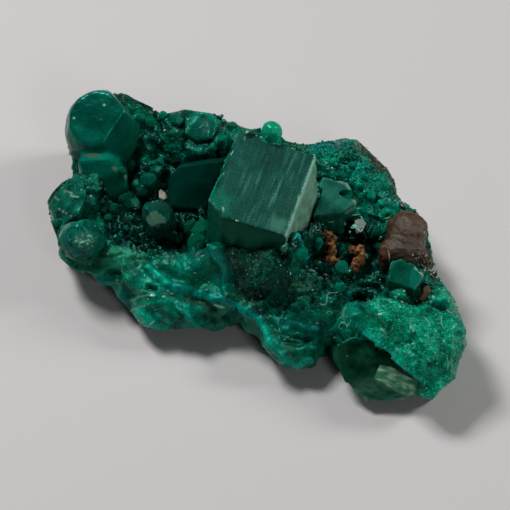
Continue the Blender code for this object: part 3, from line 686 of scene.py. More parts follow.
# Druse heaped against the middle crystal and the plate: line through the picture, half width in pixels, height in mm
HEAPS = [
    ([(214, 262), (248, 268), (274, 268)], 24, 2.0), ([(294, 260), (304, 246), (316, 234)], 18, 2.5), ([(196, 250), (204, 246)], 14, 1.0),
]


def zones_of(points):
    """The kind of surface at each point in mm, with wandering borders."""
    uv = picture(points)
    uv = uv + 5.0 * np.stack([wave(points, 0.9, (5, 1, 2)), wave(points, 0.9, (9, 4, 7))], -1)
    kind = np.zeros(len(uv), int)
    for name, corners in ZONES:
        kind[in_polygon(uv, corners)] = name
    return kind


def bulk_form():
    """The lobes and their roots as in the CAD, cut off flat where the specimen was broken from its rock."""
    bm = bmesh.new()
    turn = Matrix.Rotation(A, 4, "Z")
    for u, v, z, right, away, up in LOBES:
        at = seen(u, v, z)
        root = at + facing(0, 1, 0) * ROOT_INSET
        for where, r, a, h in ((at, right, away, up), (Vector((root.x, root.y, ROOT_HEIGHT)), right * ROOT_WIDTH, away * ROOT_WIDTH, ROOT_REACH)):
            made = bmesh.ops.create_icosphere(bm, subdivisions=4, radius=1.0)
            size = Matrix.Diagonal(Vector((r * MM, a * MM, h * MM, 1)))
            bmesh.ops.transform(bm, matrix=Matrix.Translation(where * MM) @ turn @ size, verts=made["verts"])
    obj = from_bm("crust", bm)
    remesh(obj, CRUST_VOXEL, 0.6, 16)
    bm = bmesh.new()
    bm.from_mesh(obj.data)
    found = bmesh.ops.bisect_plane(bm, geom=bm.verts[:] + bm.edges[:] + bm.faces[:], plane_co=(0, 0, 0.03 * MM), plane_no=(0, 0, -1), clear_outer=True)
    bmesh.ops.holes_fill(bm, edges=[g for g in found["geom_cut"] if isinstance(g, bmesh.types.BMEdge)], sides=0)
    bmesh.ops.recalc_face_normals(bm, faces=bm.faces)
    bm.to_mesh(obj.data)
    bm.free()
    return obj


crust = bulk_form()
co, no = coords(crust.data), normals(crust.data)
drawn = co - np.array(SHIFT)
uv = picture(co)
front = smooth(-0.05, 0.2, no @ np.array(BACK))
kind = zones_of(co)


def share_of(*names, times=10):
    return spread(crust.data, np.isin(kind, names), times)


waxy = share_of(WAXY, LEDGE)
pit = share_of(HOLLOW, PIT, times=30)
sugar = share_of(SUGAR)
drusy = 1 - np.clip(waxy + sugar, 0, 1)
coarse = 0.9 * wave(drawn, 0.28, (3.1, 7.7, 1.3)) + 0.42 * wave(drawn, 0.75, (11.0, 2.0, 5.0))
# waxy: long conchoidal scoops that meet in sharp ridges
swirl = np.stack([wave(co, 0.25, (1, 1, 1)), wave(co, 0.25, (4, 5, 6)), wave(co, 0.25, (7, 8, 9))], -1) * 1.2
lean = np.array(RIGHT * 0.45 + FLAT_AWAY * -0.2)
stretch = (co + swirl) + np.outer((co + swirl) @ np.array(RIGHT), lean) * -0.6
d1, d2, _, chance = cells(stretch, 0.55, (0.3, 0.6, 0.2))
scoops = np.clip(d1, 0, 1.1) ** 2 * 0.44 - 0.15
d3, d4, _, _ = cells(stretch, 1.5, (3.3, 2.6, 4.2))
scoops += np.clip(d3, 0, 1.1) ** 2 * 0.19 - 0.06 + blocks(stretch, 1.2, (6, 2, 2), 0.05, 0.16)
# druse: broken blocks of crystal at two sizes
rough = blocks(co, 0.62, (8, 8, 8), 0.16, 0.42) + blocks(co, 1.5, (5, 1, 9), 0.10, 0.42)
soft = blocks(co, 1.3, (2, 4, 9), 0.05, 0.22) + 0.10 * wave(co, 0.9, (3, 3, 3))
rim = share_of(RIDGE, SPARKLE, LEFT, times=16)
push = coarse + waxy * scoops + drusy * rough * (1 - 0.6 * rim) + sugar * soft - 0.75 * pit
tone = np.zeros(len(co))
fold_colour_and_painted_light, fold_share = np.zeros((len(co), 3)), np.zeros(len(co))
for line, half, height, colour, share in FOLDS:
    t = along(uv + 1.2 * np.stack([chance[:, 0] - 0.5, chance[:, 1] - 0.5], -1), line, half) * front
    push += height * (t if height > 0 else smooth(0, 1, t))
    s = smooth(0.0, 0.75, t) * share
    # ridges over 0.2 mm high painted brighter and bluer still, a painted highlight
    fold_colour_and_painted_light = blend(fold_colour_and_painted_light, colour * ((1.1, 1.15, 1.45) if height > 0.2 else 1.0), s)
    fold_share = np.maximum(fold_share, s)
heap = np.max([height * smooth(0, 1, along(uv, line, half)) for line, half, height in HEAPS], axis=0) * front
co = inside_outline(co + no * push[:, None] + np.outer(heap, (0, 0, 1)))
co = out_of_gap(co, LOBE_RIM + [(424, 392), (412, 397), (392, 404), (366, 404), (344, 372)], LOBE_RIM)
co[:, 2] = np.maximum(co[:, 2], 0.01)


def tinted(points, kind, extra):
    """Colours at points: each kind of surface runs from a darker to a brighter green, with veils of other hues."""
    level = np.clip(0.45 + 0.8 * wave(points, 0.5, (6, 2, 8)) + 0.45 * wave(points, 1.6, (1, 7, 3)) + extra, 0, 1)[:, None]
    low = np.array([BASE[k][0] for k in kind])
    high = np.array([BASE[k][1] for k in kind])
    colour = low * (1 - level) + high * level
    bare = np.isin(kind, (SUGAR, HOLLOW, PIT, LEFT))[:, None]
    olive = smooth(0.3, 0.6, wave(points, 0.45, (12, 3, 3)))[:, None] * 0.5 * ~bare
    colour = colour * (1 - olive) + OLIVE * olive
    earth = smooth(0.42, 0.62, wave(points, 0.8, (3, 13, 5)))[:, None] * 0.4 * ~bare
    return colour * (1 - earth) + EARTH * earth


# painted light and shade: where the surface stands out it is painted lighter, in its dips darker
relief_painted_light = np.clip(waxy * scoops * 1.3 + drusy * rough * 0.8 + sugar * soft * 2.5, -0.5, 0.6)
crust_colour = tinted(co, kind, relief_painted_light)
crust_colour = spread(crust.data, crust_colour, 1)
crust_colour = crust_colour * (1 - fold_share[:, None]) + fold_colour_and_painted_light * fold_share[:, None]

# ---------------------------------------------------------------- larger crystals
GEMS = {}


def gem(node, voxel, soften, slot, materials, tint, ripple=0.03, chips=0.0, pick=None, knobs=0.35, broken=0.0):
    """The visual form of a larger crystal: the CAD's, with rounded edges, broken chips and faintly uneven faces.
    tint(points, normals, edge) gives its colours, pick(normals, points) a material number for each face."""
    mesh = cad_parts[node].data.copy()
    mesh.name = node + "_look"
    obj = new_object(node + "_look", mesh)
    mesh.materials.clear()
    remesh(obj, voxel, 0.5, soften)
    mesh = obj.data
    p, n = coords(mesh), normals(mesh)
    wide = spread(mesh, n, 6)
    edge = np.clip(1 - np.linalg.norm(wide, axis=1), 0, 1)
    edge = smooth(0.02, 0.22, edge)
    chip = edge * smooth(0.12, 0.5, wave(p, 1.1, (4, 9, 2)) + 0.5 * wave(p, 3.0, (1, 5, 8))) * chips
    chip = spread(mesh, chip, 1)
    p = p + n * (ripple * wave(p, 0.9, (7, 1, 4)) + knobs * ripple * wave(p, 3.1, (2, 6, 1)) + blocks(p, 0.8, (3, 1, 8), 0.1 * broken, broken) - chip)[:, None]
    p[:, 2] = np.maximum(p[:, 2], 0.01)
    set_coords(mesh, p)
    paint(mesh, "paint", np.clip(tint(p, n, edge), 0, 0.9))
    for m in materials:
        mesh.materials.append(m)
    if pick is not None:
        faces = np.empty(len(mesh.polygons) * 3)
        mesh.polygons.foreach_get("normal", faces)
        middle = np.empty(len(mesh.polygons) * 3)
        mesh.polygons.foreach_get("center", middle)
        index = pick(faces.reshape(-1, 3), middle.reshape(-1, 3) / MM).astype(np.int32)
        mesh.polygons.foreach_set("material_index", index)
    shade(obj)
    add_piece(obj, slot, node)
    GEMS[node] = obj
    return obj


def veils(p, low, high, scale=0.5, shift=0.0):
    level = np.clip(0.5 + 0.9 * wave(p, scale, (6, 2, 8)) + 0.4 * wave(p, scale * 3, (1, 7, 3)) + shift, 0, 1)
    return blend(low, high, level)


def patch(uv, u, v, ru, rv, soft=0.5):
    """1 inside an oval of the picture, fading over its outer part."""
    d = np.sqrt(((uv[:, 0] - u) / ru) ** 2 + ((uv[:, 1] - v) / rv) ** 2)
    return 1 - smooth(1 - soft, 1, d)


TOP_NORMAL = np.array(facing(0.05, -0.34, 0.94))
TOP_CORNER = np.array(seen(286, 236, 12.2))
BEAD_AT = np.array(EYE) + np.array(ray(272, 140)) * (((TOP_CORNER - np.array(EYE)) @ TOP_NORMAL) / (np.array(ray(272, 140)) @ TOP_NORMAL)) + np.array(facing(0, 1, 0)) * 0.55 + (0, 0, 0.5)


def central_tint(p, n, edge):
    q = picture(p)
    top = smooth(0.75, 0.95, n @ TOP_NORMAL)
    colour = veils(p, (0.0, 0.040, 0.016), (0.0, 0.074, 0.032), 0.35)
    face = veils(p, (0.004, 0.056, 0.039), (0.008, 0.088, 0.062), 0.3)
    face = blend(face, (0.0, 0.190, 0.112), patch(q, 214, 203, 28, 24, 0.9) * 0.9)
    # greyer towards the lower right: painted sheen
    face = blend(face, (0.030, 0.135, 0.098), smooth(240, 300, q[:, 0]) * smooth(150, 235, q[:, 1]) * 0.6)
    # striations along the cleavage: pale streaks and a pale patch near the lower right corner painted as sheen, darker
    # veils between them
    way = np.array([-30.0, 80.0]) / 85.4
    run, over = q @ way, q @ np.array([way[1], -way[0]])
    flat = np.zeros(len(q))
    lines = wave(np.stack([over * 0.30, run * 0.030, flat], -1), 1.0, (3, 5, 1)) + 0.7 * wave(np.stack([over * 0.85, run * 0.06, flat], -1), 1.0, (8, 2, 4))
    near_corner = smooth(0, 70, (q[:, 0] - 215) * 0.62 + (q[:, 1] - 150) * 0.78) * (0.35 + 0.65 * smooth(225, 262, q[:, 0]))
    face = blend(face, (0.055, 0.235, 0.165), smooth(0.05, 0.75, lines) * near_corner * 0.9)
    face = blend(face, (0.003, 0.045, 0.032), smooth(0.1, 0.8, -lines) * (0.25 + 0.4 * near_corner))
    face = blend(face, (0.10, 0.30, 0.22), patch(q, 279, 226, 13, 12, 0.9) * 0.55)
    colour = blend(colour, face, top)
    # painted light: the right-facing side paler and the left-facing side a lighter green, for how light falls on them
    right = smooth(0.5, 0.8, n @ np.array(RIGHT)) * (1 - top)
    colour = blend(colour, veils(p, (0.11, 0.26, 0.175), (0.21, 0.42, 0.30), 1.2), right * 0.95)
    left = smooth(0.4, 0.8, -(n @ np.array(RIGHT))) * (1 - top)
    colour = blend(colour, veils(p, (0.0, 0.050, 0.030), (0.0, 0.130, 0.085), 0.7), left * 0.85)
    # painted highlights along the edges B–C and D–C, and a darker, broken band along the far left edge
    seen_side = smooth(0.0, 0.2, n @ np.array(BACK))
    line = smooth(0.1, 0.6, along(q, [(316, 156), (301, 196), (286, 236)], 2.2)) * seen_side
    colour = blend(colour, (0.30, 0.56, 0.44), line * 0.85)
    low = along(q, [(286, 237), (262, 228), (222, 217), (209, 200)], 2.5) * smooth(0.2, 0.6, edge)
    colour = blend(colour, (0.16, 0.34, 0.24), low * (0.35 + 0.4 * smooth(-0.2, 0.4, wave(p, 1.8))))
    dark_left_band = along(q, [(238, 128), (231, 160), (214, 192)], 4) * smooth(0.1, 0.5, wave(p, 2.4, (4, 4, 4)) + 0.2)
    colour = blend(colour, (0.010, 0.030, 0.024), dark_left_band * 0.8)
    for u, v, ru, rv in ((250, 135, 5.5, 4.5), (296, 147, 3.5, 2.2), (270, 139, 5, 1.8)):
        colour = blend(colour, (0.001, 0.010, 0.008), patch(q, u, v, ru, rv, 0.3) * top)
    bead = smooth(1.22, 1.05, np.linalg.norm(p - BEAD_AT, axis=1))
    return blend(colour, (0.003, 0.330, 0.185), bead)


def central_pick(n, p):
    top = (n @ TOP_NORMAL > 0.8) & (along(picture(p), [(238, 128), (209, 200)], 3.5) == 0)
    right = (n @ np.array(RIGHT) > 0.45) & ~top
    return np.where(top, 0, np.where(right, 2, 1))


def dome_tint(p, n, edge):
    q = picture(p)
    colour = veils(p, (0.0, 0.084, 0.056), (0.001, 0.150, 0.098), 0.3)
    # painted shade: the facet at the dome's right a darker green
    dark = smooth(0, 14, (q[:, 0] - 104) * 0.83 + (q[:, 1] - 157) * 0.56) * (q[:, 1] < 170)
    colour = blend(colour, (0.0, 0.100, 0.058), dark * 0.7)
    colour = blend(colour, (0.12, 0.045, 0.030), patch(q, 93, 155.5, 10, 2.0, 0.7) * 0.85)
    # painted shade: the wedge's lower right face darker
    wedge = smooth(0, 10, (q[:, 0] - 112) * 0.55 + (q[:, 1] - 160) * 0.8 - 8) * (q[:, 1] > 158) * smooth(92, 104, q[:, 0])
    colour = blend(colour, (0.001, 0.045, 0.022), wedge * 0.8)
    # painted highlights: a bright line on the wedge's right edge and a faint lighter line along its top edge
    colour = blend(colour, (0.14, 0.34, 0.24), along(q, [(114, 168), (120, 172), (127, 177)], 3.4) * 0.85)
    colour = blend(colour, (0.002, 0.160, 0.110), along(q, [(74, 161), (86, 158), (104, 158)], 2.2) * 0.3)
    # painted glints: pale spots on the dome's rim and at the wedge's tip
    for u, v, r in ((104, 105, 1.6), (74, 118, 1.6), (92, 194, 2.4), (80, 190, 2.2)):
        colour = blend(colour, (0.45, 0.60, 0.50), patch(q, u, v, r, r, 0.5))
    # painted highlight: the edges a little lighter
    return blend(colour, colour * 1.1, edge * 0.15)


def green_tint(low, high, edge_highlight_gain=0.6, *patches):
    def tint(p, n, edge):
        q = picture(p)
        colour = veils(p, low, high, 0.55)
        # painted highlight: the edges lighter
        colour = blend(colour, colour * 1.35 + (0.0, 0.008, 0.005), edge * edge_highlight_gain * 0.6)
        for shape, c, share in patches:
            if isinstance(shape, list):
                where = in_polygon(q + 0.8 * np.stack([wave(p, 2.0, (1, 1, 4)), wave(p, 2.0, (6, 1, 4))], -1), shape).astype(float)
            else:
                where = along(q, *shape) if isinstance(shape[0], list) else patch(q, *shape)
            colour = blend(colour, c, where * share)
        return colour
    return tint


def frosted_tint(p, n, edge):
    q = picture(p)
    colour = veils(p, (0.001, 0.080, 0.052), (0.003, 0.170, 0.120), 0.6)
    grain = wave(p, 3.4, (3, 8, 1)) + 0.8 * wave(p, 7.5, (7, 2, 2))
    area = patch(q, 85, 241, 15, 12, 0.8)
    colour = blend(colour, (0.06, 0.20, 0.14), area * 0.6)
    colour = blend(colour, (0.34, 0.62, 0.48), area * smooth(0.0, 0.5, grain) * 0.9)
    colour = blend(colour, (0.22, 0.36, 0.28), along(q, [(59, 236), (63, 230), (69, 224)], 2.2) * 0.8)
    return colour


def edge_tint(p, n, edge):
    q = picture(p)
    colour = veils(p, (0.002, 0.045, 0.028), (0.005, 0.160, 0.105), 1.1)
    colour = blend(colour, (0.07, 0.15, 0.11), along(q, [(47, 206), (51, 220), (60, 234)], 7) * 0.8)
    # pale streaks painted as highlights on the cleavage cracks
    broken = smooth(-0.25, 0.35, wave(p, 3.2, (5, 5, 2)))
    for line, half, share in (([(62, 189), (68, 192), (74, 194)], 1.5, 0.9), ([(65, 193), (72, 196), (79, 197)], 1.4, 0.9), ([(60, 187), (63, 189)], 2.2, 0.7),
                              ([(59, 209), (64, 212)], 1.6, 0.9), ([(64, 212), (71, 216)], 1.5, 0.8), ([(55, 197), (58, 200)], 2.0, 0.6)):
        colour = blend(colour, (0.32, 0.50, 0.32), along(q, line, half) * broken * share)
    return colour


def cleavage_tint(p, n, edge):
    q = picture(p)
    # its body painted dark: partly its own dark green, partly painted shadow under the right lobe's overhang
    colour = veils(p, (0.001, 0.016, 0.006), (0.010, 0.085, 0.040), 0.9)
    low = smooth(372, 392, q[:, 1] + 0.10 * (q[:, 0] - 360))
    colour = blend(colour, veils(p * np.array([1.0, 1.0, 3.0]), (0.012, 0.085, 0.050), (0.080, 0.230, 0.150), 1.1), low * 0.9)
    plate = in_polygon(q, [(374, 378), (380, 365), (392, 367), (406, 376), (426, 383), (426, 391), (409, 396), (397, 392), (385, 384)]).astype(float)
    streak = smooth(-0.3, 0.5, wave(p @ np.array(Matrix.Rotation(0.4, 3, "Z")) * np.array([1.0, 5.0, 1.0]), 1.0, (2, 2, 2)))
    colour = blend(colour, blend((0.07, 0.28, 0.16), (0.38, 0.68, 0.45), streak), plate)
    rim = along(q, [(362, 398), (378, 402), (396, 400), (416, 395)], 2.4)
    return blend(colour, (0.16, 0.32, 0.22), rim * 0.7)


def nodule_tint(p, n, edge):
    q = picture(p)
    colour = veils(p, (0.025, 0.012, 0.0045), (0.060, 0.034, 0.014), 0.7)
    # painted highlight on the upper right of the nodule
    colour = blend(colour, (0.080, 0.066, 0.044), patch(q, 412, 228, 12, 10, 0.8) * 0.7)
    colour = blend(colour, (0.075, 0.025, 0.009), (patch(q, 386, 256, 8, 18, 0.7) + patch(q, 384, 232, 6, 10, 0.7)).clip(0, 1) * 0.8)
    # painted shade in the furrow between the two lobes
    colour = blend(colour, (0.012, 0.006, 0.005), along(q, [(384, 238), (396, 238), (408, 242), (420, 246)], 3) * 0.85)
    lines = smooth(0.1, 0.5, wave(p * np.array([1.0, 1.0, 3.5]), 1.6, (9, 9, 1)))
    return blend(colour, colour * 1.6, lines * 0.4)


gem("central_crystal", 0.105, 3, "crystal_green", (CENTRAL, SHADED_FACE, CENTRAL_SIDE), central_tint, 0.015, 0.30, central_pick)
gem("upper_left_crystals", 0.10, 34, "crystal_green", (CLOUDY, DULL_FACE), dome_tint, 0.05, 0.10,
    lambda n, p: (along(picture(p), [(74, 158), (92, 156), (113, 158)], 7) > 0).astype(int))
# the shaded crystal painted a near-black green: painted shade, its face lies in shadow
gem("shaded_crystal", 0.10, 6, "dark_crystal", (DULL_FACE,), green_tint((0.0, 0.012, 0.008), (0.0, 0.034, 0.024), 0.1), 0.03, 0.15)
gem("broken_tip_crystal", 0.07, 2, "crystal_green", (CLOUDY,), green_tint((0.001, 0.035, 0.026), (0.004, 0.100, 0.075), 0.6,
    ((163, 205, 12, 7, 0.6), (0.014, 0.085, 0.052), 0.8), ((173, 219, 6, 13, 0.6), (0.006, 0.120, 0.066), 0.8),
    ([(146, 217), (152, 212), (156, 210), (160, 214), (165, 217), (166, 225), (161, 223), (158, 229), (153, 226), (148, 229)], (0.075, 0.18, 0.12), 0.85)), 0.03, 0.25)
gem("left_edge_crystal", 0.07, 8, "crystal_green", (CLOUDY,), edge_tint, 0.06, 0.2)
gem("left_rounded_crystal", 0.07, 8, "crystal_green", (CLOUDY,), frosted_tint, 0.05, 0.3, broken=0.22)
gem("far_ridge_crystal", 0.07, 10, "crystal_green", (CLOUDY_SMALL,), green_tint((0.001, 0.050, 0.030), (0.002, 0.110, 0.068), 0.2,
    (([(208, 114), (216, 120), (222, 126)], 5), (0.002, 0.26, 0.15), 0.8), ((205, 126, 6, 10, 0.8), (0.05, 0.10, 0.07), 0.7), ((192, 126, 6, 8, 0.8), (0.0, 0.085, 0.06), 0.6)), 0.05, 0.3, broken=0.04)
gem("broken_plate_crystal", 0.06, 4, "crystal_green", (CLOUDY,), green_tint((0.004, 0.090, 0.062), (0.026, 0.210, 0.150), 0.4,
    (([(324, 176), (346, 183), (350, 190)], 2.6), (0.25, 0.42, 0.32), 0.8), (([(352, 198), (357, 206), (346, 213)], 2.4), (0.25, 0.42, 0.32), 0.7)), 0.04, 0.5)
# box crystal: its right face painted brighter and pale lines painted along its right edges, painted light
gem("box_crystal", 0.07, 3, "crystal_green", (CLOUDY,), green_tint((0.001, 0.065, 0.034), (0.002, 0.110, 0.062), 0.4,
    ((402, 268, 8, 5, 0.7), (0.0, 0.040, 0.020), 0.6), (([(391, 269), (395, 261), (400, 259)], 2.4), (0.02, 0.22, 0.14), 0.6),
    ([(410, 270), (416, 267), (424, 275), (420, 283), (414, 289), (410, 287)], (0.004, 0.20, 0.145), 0.75), (([(415, 268), (420, 271), (423, 276)], 2.0), (0.3, 0.56, 0.45), 0.8),
    (([(423, 277), (419, 284), (414, 289)], 1.4), (0.12, 0.40, 0.30), 0.6)), 0.04, 0.25)
gem("lower_right_crystal", 0.09, 3, "crystal_green", (SHADED_FACE,), cleavage_tint, 0.06, 0.35)
gem("brown_nodule", 0.085, 2, "nodule_brown", (BROWN,), nodule_tint, 0.16, 0.0)
gem("brown_chip", 0.06, 2, "nodule_brown", (BROWN,), nodule_tint, 0.06, 0.3)
gem("limonite_sprig_left", 0.055, 1, "limonite", (RUST,), nodule_tint, 0.24, 0.0, knobs=0.9)
gem("limonite_sprig_right", 0.055, 1, "limonite", (RUST,), nodule_tint, 0.22, 0.0, knobs=0.9)
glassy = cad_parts["clear_dark_crystal"]
glassy.data.materials.clear()
glassy.data.materials.append(DARK)

# solids that no druse grows inside of, from the CAD
SOLIDS = []
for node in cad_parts:
    if node == "dioptase_crust":
        continue
    lo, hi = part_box(node)
    SOLIDS.append((tree_of(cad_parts[node]), np.array(lo) / MM, np.array(hi) / MM))


def beside(points, reach):
    """For points near a larger crystal: how far outside of its face each is (negative inside), and the way to the face."""
    far, way = np.full(len(points), 99.0), np.zeros((len(points), 3))
    for tree, lo, hi in SOLIDS:
        near = np.all((points > lo - reach) & (points < hi + reach), axis=1)
        for i in np.nonzero(near)[0]:
            p = Vector(points[i])
            hit, normal, _, d = tree.find_nearest(p)
            d = -d if (p - hit).dot(normal) < 0 else d
            if d < far[i]:
                far[i], way[i] = d, -normal
    return far, way


# the crust dips under the faces of the larger crystals, instead of lying on them
far, way = beside(co, 0.45)
dip = (far > -0.02) & (far < 0.36)
co[dip] += way[dip] * (far[dip] + 0.16)[:, None]
co[:, 2] = np.maximum(co[:, 2], 0.01)
set_coords(crust.data, co)
# painted shade: the crust darker where it meets the larger crystals
painted_shade_near_gems = smooth(1.0, 0.1, np.where(far > 0, far, 0))
crust_colour *= (1 - 0.45 * painted_shade_near_gems)[:, None]
paint(crust.data, "paint", crust_colour)
paint(crust.data, "grain", np.repeat((1 - 0.72 * waxy - 0.35 * sugar).clip(0, 1)[:, None], 3, axis=1))
crust.data.materials.clear()
crust.data.materials.append(CRUST)
shade(crust)
add_piece(crust, "crust_green", "dioptase_crust")

# ---------------------------------------------------------------- druse
rng = np.random.default_rng(7)


def template(slope):
    """A hexagonal crystal of radius 1 and length 1 with three sloping end faces: corners and faces."""
    t = math.tan(math.radians(slope))
    ring = [(math.cos(math.radians(60 * i)), math.sin(math.radians(60 * i))) for i in range(6)]
    low = [(x, y, 0.0) for x, y in ring]
    high = [(x, y, -(t if i % 2 == 0 else 0.5 * t)) for i, (x, y) in enumerate(ring)]
    corners = np.array(low + high + [(0, 0, 0)])
    lift = np.array([0.0] * 6 + [1.0] * 7)
    faces = [(i, (i + 1) % 6, 6 + (i + 1) % 6, 6 + i) for i in range(6)]
    faces += [(12, 6 + (i - 1) % 6, 6 + i, 6 + (i + 1) % 6) for i in (0, 2, 4)]
    faces += [(5, 4, 3, 2, 1, 0)]
    return corners, lift, faces


CRYSTAL = template(38)
# a broken flake: a flat, uneven double pyramid
FLAKE = (np.array([(math.cos(a), math.sin(a), 0.0) for a in np.radians((0, 70, 128, 200, 270))] + [(0.1, 0.0, 0.0), (-0.1, 0.1, 0.0)]),
         np.array([0.5] * 5 + [1.0, 0.0]), [(i, (i + 1) % 5, 5) for i in range(5)] + [((i + 1) % 5, i, 6) for i in range(5)])


def many(name, form, places, axes, radii, lengths, colours, material, slot="crust_green", jitter=0.0):
    """One mesh of many small bodies of a form: places and axes n x 3, radii and lengths in mm."""
    corners, lift, faces = form
    n = len(places)
    axes = axes / np.linalg.norm(axes, axis=1)[:, None]
    side = np.cross(axes, rng.normal(size=(n, 3)))
    side /= np.linalg.norm(side, axis=1)[:, None]
    other = np.cross(axes, side)
    k = len(corners)
    squash = rng.uniform(0.6, 1.0, n)
    x = corners[:, 0][None, :] * radii[:, None]
    y = corners[:, 1][None, :] * (radii * squash)[:, None]
    z = corners[:, 2][None, :] * radii[:, None] + lift[None, :] * lengths[:, None]
    if form is CRYSTAL:
        z = np.maximum(z, np.where(lift[None, :] > 0, 0.15 * radii[:, None], 0))
    if jitter:
        x, y, z = (c + jitter * radii[:, None] * rng.normal(size=c.shape) for c in (x, y, z))
    pts = places[:, None, :] + x[..., None] * side[:, None, :] + y[..., None] * other[:, None, :] + z[..., None] * axes[:, None, :]
    pts[..., 2] = np.maximum(pts[..., 2], 0.01)
    flat = np.concatenate([np.array(f) for f in faces])
    sizes = np.array([len(f) for f in faces])
    all_loops = (flat[None, :] + (np.arange(n) * k)[:, None]).ravel()
    all_sizes = np.tile(sizes, n)
    all_starts = np.concatenate([[0], np.cumsum(all_sizes)[:-1]])
    mesh = bpy.data.meshes.new(name)
    mesh.vertices.add(n * k)
    mesh.vertices.foreach_set("co", (pts.reshape(-1, 3) * MM).ravel())
    mesh.loops.add(len(all_loops))
    mesh.loops.foreach_set("vertex_index", all_loops.astype(np.int32))
    mesh.polygons.add(len(all_sizes))
    mesh.polygons.foreach_set("loop_start", all_starts.astype(np.int32))
    mesh.polygons.foreach_set("loop_total", all_sizes.astype(np.int32))
    mesh.update(calc_edges=True)
    mesh.validate()
    paint(mesh, "paint", np.repeat(colours, k, axis=0))
    return add_piece(new_object(name, mesh, material), slot)


mesh = crust.data
mesh.calc_loop_triangles()
tri = np.empty(len(mesh.loop_triangles) * 3, np.int32)
mesh.loop_triangles.foreach_get("vertices", tri)
tri = tri.reshape(-1, 3)
surface_no = normals(mesh)
corner = co[tri]
cross = np.cross(corner[:, 1] - corner[:, 0], corner[:, 2] - corner[:, 0])
area = np.linalg.norm(cross, axis=1) / 2
tri_mid = corner.mean(1)
tri_kind = kind[tri[:, 0]]
tri_fold = fold_share[tri].max(1)


def scatter(pick, density):
    """Random places on the crust's triangles: points, normals, colours."""
    share = area[pick]
    count = int(share.sum() * density)
    chosen = rng.choice(pick, count, p=share / share.sum())
    a, b = rng.random(count), rng.random(count)
    flip = a + b > 1
    a[flip], b[flip] = 1 - a[flip], 1 - b[flip]
    c = corner[chosen]
    spot = c[:, 0] + a[:, None] * (c[:, 1] - c[:, 0]) + b[:, None] * (c[:, 2] - c[:, 0])
    return spot, surface_no[tri[chosen, 0]], crust_colour[tri[chosen]].mean(1)


# zone: crystals a square mm, radius from and to in mm, length over radius, tilt, how far they stand out, brightness from and to
GROWTH = {
    SUGAR: (14.0, 0.07, 0.18, 2.0, 0.55, 0.24, 0.75, 1.5),
    SPARKLE: (15.0, 0.07, 0.22, 2.0, 0.60, 0.28, 0.5, 2.0),
    HOLLOW: (2.0, 0.12, 0.45, 2.2, 0.80, 0.35, 0.25, 1.0),
    PIT: (3.2, 0.10, 0.38, 2.2, 0.80, 0.38, 0.4, 2.4),
    RIDGE: (7.0, 0.08, 0.28, 2.2, 0.60, 0.25, 0.5, 1.8),
    DARKDRUSE: (16.0, 0.06, 0.16, 2.0, 0.70, 0.30, 0.6, 1.7),
    LEFT: (2.0, 0.08, 0.20, 2.2, 0.60, 0.20, 0.6, 1.5),
    0: (6.0, 0.09, 0.28, 2.0, 0.60, 0.28, 0.6, 1.5),
    WAXY: (1.6, 0.05, 0.11, 1.6, 0.80, 0.30, 0.8, 2.0),
    LEDGE: (3.0, 0.05, 0.12, 1.6, 0.80, 0.30, 0.7, 1.8),
}
for zone, (density, small, large, reach, tilt, out, dim, lit) in GROWTH.items():
    pick = np.nonzero((tri_kind == zone) & (tri_mid[:, 2] > 0.35) & ((tri_fold < 0.35) | (zone in (SUGAR, SPARKLE))))[0]
    if not len(pick):
        continue
    spot, n, colour = scatter(pick, density)
    count = len(spot)
    # neighbours lean much the same way
    drift = np.stack([wave(spot, 0.7, (k, 3 * k, 5)) for k in (2, 5, 9)], -1)
    axis = n + tilt * (1.1 * drift + 0.35 * rng.normal(size=(count, 3)))
    radius = small + (large - small) * rng.random(count) ** 2.6
    length = radius * reach * rng.uniform(0.7, 1.3, count)
    far, _ = beside(spot, 0.7)
    # in patches, and not out over the rim that shows against the floor
    there = rng.random(count) < 0.35 + 0.65 * smooth(-0.2, 0.2, wave(spot, 0.8, (4, 4, 9)))
    there &= np.abs(n @ np.array(BACK)) > 0.28 * rng.random(count) + 0.10
    free = (far > radius * 0.6) & there
    spot, axis, radius, length, colour = spot[free], axis[free], radius[free], length[free], colour[free]
    axis /= np.linalg.norm(axis, axis=1)[:, None]
    spot = spot - axis * (length * (1 - out))[:, None]
    spot[:, 2] = np.maximum(spot[:, 2], 0.25)
    gain = dim + (lit - dim) * rng.random(len(spot)) ** 1.5
    colour = np.clip(colour * 1.25 * gain[:, None], 0, 0.8)
    many("druse_%d" % zone, CRYSTAL, spot, axis, radius, length, colour, DARK_DRUSE if zone == HOLLOW else DRUSE)

# ---------------------------------------------------------------- single small things, set down where they are seen
LANDING = [tree_of(crust)] + [tree_of(o) for o in GEMS.values()] + [tree_of(glassy)]


def land(u, v):
    """The point and normal of the surface that is seen at (u, v), or None."""
    way = ray(u, v).normalized()
    best = None
    for tree in LANDING:
        hit, normal, _, d = tree.ray_cast(EYE, way)
        if hit is not None and (best is None or d < best[2]):
            best = (hit, normal if normal.dot(way) < 0 else -normal, d)
    return best and best[:2]


def set_down(spots):
    """Points and normals for (u, v) pairs, leaving out those off the specimen."""
    found = [(i, land(u, v)) for i, (u, v) in enumerate(spots)]
    found = [(i, f) for i, f in found if f]
    return [i for i, _ in found], np.array([f[0] for _, f in found]), np.array([f[1] for _, f in found])


